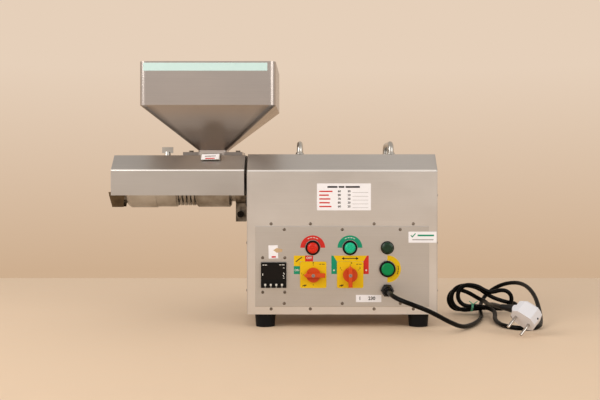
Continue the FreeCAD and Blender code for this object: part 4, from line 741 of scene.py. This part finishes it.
class OILPRESS_OT_switch_legends(bpy.types.Operator):
    """Printed legends behind the cam switches and the marks on their plates"""
    bl_idname = "oilpress.switch_legends"
    bl_label = "Switch legends"

    def execute(self, context):
        step, top = LEGEND_STEP, LEGEND_TOP
        plates("heater_legend_corner", [[(-91.8, 116.9), (-80.2, 116.9), (-80.2, step), (-70.6, step),
                                         (-70.6, top), (-91.8, top)]], PANEL_FACE, "yellow_plate")
        prints("heater_legend_stroke", [bar(-88, 125, -76.5, 134, 1.7)], PANEL_PRINT, "print_black")
        plates("heater_legend_off", [rectangle(-70.6, -55.3, step, top, 0.4)], PANEL_FACE, "print_red")
        plates("heater_legend_on", [rectangle(-91.8, -80.2, 101.6, 116.9, 0.4)], PANEL_FACE, "print_green")
        lettering("heater_off_word", "OFF", -62.9, 132.2, 4.4, PANEL_PRINT, "print_white")
        lettering("heater_on_word", "ON", -86, 109, 4.2, PANEL_PRINT, "print_white")
        plates("direction_legend_band", [[(-16.6, top), (-10.2, step), (40.2, step), (46.6, top)]],
               PANEL_FACE, "yellow_plate")
        plates("direction_legend_left", [[(-20.6, 101.8), (-10.2, 101.8), (-10.2, step), (-17, top),
                                          (-20.6, top)]], PANEL_FACE, "print_green")
        plates("direction_legend_right", [[(50.2, 101.8), (50.2, top), (46.9, top), (40.2, step),
                                           (40.2, 101.8)]], PANEL_FACE, "print_red")
        arrows = [bar(3, 131.3, 27, 131.3, 1.5), [(3.6, 128.4), (3.6, 134.2), (-1, 131.3)],
                  [(26.4, 134.2), (26.4, 128.4), (31, 131.3)]]
        prints("direction_arrows", arrows, PANEL_PRINT, "print_black")
        discs("direction_dots", [(-15.6, 108.9), (45.4, 108.9)], 1.7, PANEL_PRINT, PRINT_GAUGE, "print_white")
        self.plate_marks("heater_plate", HEATER_SWITCH, (0, 90, 180), (("0", 0, 22.6), ("1", -21.8, 2.5)))
        self.plate_marks("direction_plate", DIRECTION_SWITCH, (-60, 0, 60),
                         (("0", 2.4, 22.4), ("1", -18.4, 13.2), ("2", 18.4, 13.2)))
        self.knob_caps()
        return {"FINISHED"}

    def plate_marks(self, name, centre, bearings, numerals):
        """Ticks round the knob, a few strokes in the corners and the numerals of one switch plate."""
        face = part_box("switch_plates")[0].y / MM
        x, z = centre
        ticks = []
        for degrees in bearings:
            turn = math.radians(degrees)
            across, up = -math.sin(turn), math.cos(turn)
            ticks.append(bar(x + 17.6 * across, z + 17.6 * up, x + 20 * across, z + 20 * up, 0.8))
        ticks += [bar(x - 20.5, 79, x - 15, 81.8, 1.5), bar(x - 17, 78.6, x - 12.8, 81.6, 1.5),
                  bar(x + 11.5, 120.6, x + 15, 120.6, 1.1), bar(x + 16.4, 120.6, x + 21.4, 120.6, 1.1)]
        prints(name + "_ticks", ticks, face, "print_black")
        for text, dx, dz in numerals:
            lettering("%s_%s" % (name, text), text, x + dx, z + dz, 3.4, face, "print_black")

    def knob_caps(self):
        """Grey cap and screw head in the middle of each knob."""
        for body, centre in (("heater_knob", HEATER_SWITCH), ("direction_knob", DIRECTION_SWITCH)):
            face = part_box(body.replace("knob", "switch_knob"))[0].y / MM
            discs(body + "_cap", [centre], 3.3, face + 0.6, 1.1, "print_grey", body)
            discs(body + "_cap_screw", [centre], 1.5, face - 0.5, 0.15, "screw_steel", body)


class OILPRESS_OT_labels(bpy.types.Operator):
    """Stuck-on labels, bare or with plain marks"""
    bl_idname = "oilpress.labels"
    bl_label = "Labels"

    def execute(self, context):
        self.chart()
        self.check_label()
        self.rating_label()
        self.controller()
        self.hopper_strip()
        self.gate_label()
        return {"FINISHED"}

    def chart(self):
        """White chart: a heading of three dashes, and five rows of a red dash, two numbers and a rule."""
        plates("chart_label", [rectangle(-48, 54.5, 222.6, 273.6, 1)], CASE_FACE, "paper_white")
        heading = [bar(start, 267, stop, 267, 3.3) for start, stop in ((-28, -9), (-6.6, 4), (6.4, 33.5))]
        prints("chart_heading", heading, CASE_PRINT, "print_black")
        levels = [258.6 - 7.2 * row for row in range(5)]
        reds = [bar(-43.5, z, length - 43.5, z, 2.5) for z, length in zip(levels, (25, 18, 21, 20, 23))]
        prints("chart_names", reds, CASE_PRINT, "print_red")
        rules = [bar(19.5, z - 2.2, 49.5, z - 2.2, 0.5) for z in levels]
        prints("chart_rules", rules, CASE_PRINT, "print_grey")
        columns = ((-5.5, ("60", "80", "70", "80", "60")), (13, ("30", "20", "30", "30", "20")))
        for column, (x, numbers) in enumerate(columns):
            for row, (z, text) in enumerate(zip(levels, numbers)):
                lettering("chart_number_%d_%d" % (column, row), text, x, z, 4.2, CASE_PRINT, "print_black")

    def check_label(self):
        """White label with a green tick, a green dash and a grey rule, stuck over the panel's right edge."""
        plates("check_label", [rectangle(125.7, 179, 161.3, 182.2, 0.6)], PANEL_FACE, "paper_white")
        tick = [bar(130, 175.4, 133.4, 171.6, 1.8), bar(132.6, 171.8, 139, 178.8, 1.8),
                bar(143, 175, 174, 175, 3)]
        prints("check_mark", tick, PANEL_PRINT, "print_green")
        prints("check_rule", [bar(133, 166.8, 173, 166.8, 1.5)], PANEL_PRINT, "print_grey")

    def rating_label(self):
        """White label with two plain numbers."""
        plates("rating_label", [rectangle(26, 74.2, 48.6, 62.2, 0.6)], PANEL_FACE, "paper_white")
        for text, x in (("1", 33.5), ("230", 56)):
            lettering("rating_number_" + text, text, x, 55.4, 6.6, PANEL_PRINT, "print_black")

    def controller(self):
        """Strokes on the controller's bezel, a white dot on each key, and the small label over it."""
        words = [bar(-151, 119.4, -147.4, 119.4, 1.5), bar(-146.2, 119.4, -142.6, 119.4, 1.5),
                 bar(-119, 119.8, -115.6, 119.8, 1.5), bar(-114.4, 119.8, -109.6, 119.8, 1.5),
                 bar(-150.6, 103.4, -150.6, 99.4, 1.4), bar(-112, 113.8, -109.4, 113.8, 1.3),
                 bar(-111.6, 105, -109.2, 101.6, 1.2), bar(-112.4, 100.4, -110.4, 97.4, 1.2),
                 bar(-112, 94.6, -109.6, 94.6, 1.3)]
        for number, x in enumerate((-145.8, -135.3, -124.8, -114.2), 1):
            words.append(bar(x - 1.2, 78, x + 1.2, 78, 1.1))
            body = "key_%d" % number
            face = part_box("controller_" + body)[0].y / MM
            discs(body + "_dot", [(x, 82.05)], 2.15, face, 0.2, "key_white", body)
        prints("controller_legends", words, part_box("controller_body")[0].y / MM, "print_white")
        label = [(-139.6, 131), (-121.4, 131.6), (-122.4, 156.6), (-140, 156)]
        plates("controller_label", [label], PANEL_FACE, "paper_white")
        prints("controller_label_red", [bar(-134, 134.2, -126, 134.4, 3)], PANEL_PRINT, "print_red")
        picture = [(-131, 147), (-124, 142), (-114, 144), (-113.4, 148.6), (-124, 151.4)]
        prints("controller_label_tan", [picture], PANEL_PRINT, "print_tan")

    def hopper_strip(self):
        """Plain pale strip along the hopper's bin, under its rim, lifting with it."""
        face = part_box("hopper")[0].y / MM
        plates("hopper_strip", [rectangle(-375.5, -141.5, 486, 501, 1)], face, "paper_mint", "cover")

    def gate_label(self):
        """Small white label with a red stripe, stuck askew on the feed gate's lip."""
        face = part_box("feed_gate")[0].y / MM
        plates("gate_label", [[(-270.2, 319.2), (-236.6, 320.4), (-235, 330.2), (-268.4, 329.4)]], face,
               "paper_white", "gate")
        ink = face - LABEL_GAUGE
        prints("gate_label_red", [bar(-262, 321.4, -244, 322, 2)], ink, "print_red", "gate")
        prints("gate_label_rule", [bar(-263, 325.6, -242, 326.4, 1.6)], ink, "print_grey", "gate")


class OILPRESS_OT_studio(bpy.types.Operator):
    """Pale floor, backdrop and soft lamps"""
    bl_idname = "oilpress.studio"
    bl_label = "Studio"

    def execute(self, context):
        context.scene.view_settings.view_transform = "Standard"
        self.world(context)
        self.floor()
        self.lamp("key_lamp", (-1.9, -1.2, 1.5), (0, 0, 0.25), 1.8, 28)
        self.lamp("fill_lamp", (1.5, -1.5, 1.1), (0, 0, 0.2), 1.4, 12)
        return {"FINISHED"}

    def world(self, context):
        """Walls and ceiling for the camera and the steel to see, and an even light that no ray sees."""
        sky = bpy.data.worlds.new("studio")
        sky.use_nodes = True
        tree = sky.node_tree
        tree.nodes.clear()
        # From the wall behind the operator to the backdrop, then darker below and cooler above
        way = add(tree, "SeparateXYZ", {"Vector": add(tree, "TexCoord").outputs["Generated"]})
        behind = blend_colours(tree, ranged(tree, way.outputs["Y"], 0.0, 1.0, -0.3, 0.5),
                               colours().front_wall, colours().backdrop)
        rising = ranged(tree, way.outputs["Z"], 0.0, 1.0, -0.10, 0.12)
        lower = blend_colours(tree, rising, hex_colour("ceaf90"), behind)
        ceiling = blend_colours(tree, ranged(tree, way.outputs["Z"], 0.0, 1.0, 0.35, 0.95), lower,
                                colours().ceiling)
        seen = add(tree, "Background", {"Color": ceiling, "Strength": 1.0})
        light = add(tree, "Background", {"Color": (*hex_colour("f7f2ec"), 1), "Strength": 0.72})
        path = add(tree, "LightPath")
        either = reckon(tree, "MAXIMUM", path.outputs["Is Camera Ray"], path.outputs["Is Transmission Ray"])
        any_of = reckon(tree, "MAXIMUM", either, path.outputs["Is Glossy Ray"])
        mixed = add(tree, "MixShader", {0: any_of, 1: light.outputs[0], 2: seen.outputs[0]})
        add(tree, "OutputWorld", {"Surface": mixed.outputs[0]})
        context.scene.world = sky

    def floor(self):
        """Table top, ending at its far edge behind the press."""
        mesh = bmesh.new()
        bmesh.ops.create_grid(mesh, x_segments=2, y_segments=2, size=FLOOR_HALF)
        far = [vert for vert in mesh.verts if vert.co.y > 1]
        bmesh.ops.translate(mesh, verts=far, vec=(0, FLOOR_END - FLOOR_HALF, 0))
        data = bpy.data.meshes.new("studio_floor")
        mesh.to_mesh(data)
        mesh.free()
        floor = bpy.data.objects.new("studio_floor", data)
        bpy.context.scene.collection.objects.link(floor)
        finish = moulded("studio floor", colours().floor, 0.6, 200, 0.02, drift=0.02, specular=0.2)
        data.materials.append(finish)

    def lamp(self, name, place, target, size, power):
        """Round soft lamp at a place, turned toward its target."""
        light = bpy.data.lights.new(name, "AREA")
        light.shape = "DISK"
        light.size = size
        light.energy = power
        light.color = hex_colour("fffbf6")
        holder = bpy.data.objects.new(name, light)
        holder.location = place
        holder.rotation_euler = (Vector(target) - Vector(place)).to_track_quat("-Z", "Y").to_euler()
        bpy.context.scene.collection.objects.link(holder)


class OILPRESS_PT_panel(bpy.types.Panel):
    """Shows the oil press's sizes, colours and steps in the sidebar"""
    bl_idname = "OILPRESS_PT_panel"
    bl_label = "Oil Press"
    bl_space_type = "VIEW_3D"
    bl_region_type = "UI"
    bl_category = "Oil Press"

    def draw(self, context):
        for settings in (context.scene.oil_press_sizes, context.scene.oil_press_colours):
            for key in settings.__annotations__:
                self.layout.prop(settings, key)
        for step in STEPS:
            self.layout.operator(step.bl_idname)


STEPS = (OILPRESS_OT_camera, OILPRESS_OT_mains_lead, OILPRESS_OT_finishes, OILPRESS_OT_chute_cheeks,
         OILPRESS_OT_lamp_arcs, OILPRESS_OT_switch_legends, OILPRESS_OT_labels, OILPRESS_OT_studio)
CLASSES = (OilPressSizes, OilPressColours, *STEPS, OILPRESS_PT_panel)


def register():
    for item in CLASSES:
        bpy.utils.register_class(item)
    bpy.types.Scene.oil_press_sizes = bpy.props.PointerProperty(type=OilPressSizes)
    bpy.types.Scene.oil_press_colours = bpy.props.PointerProperty(type=OilPressColours)


def unregister():
    del bpy.types.Scene.oil_press_colours
    del bpy.types.Scene.oil_press_sizes
    for item in reversed(CLASSES):
        bpy.utils.unregister_class(item)


def main():
    register()
    for step in STEPS:
        group, name = step.bl_idname.split(".")
        getattr(getattr(bpy.ops, group), name)()


if __name__ == "__main__":
    main()
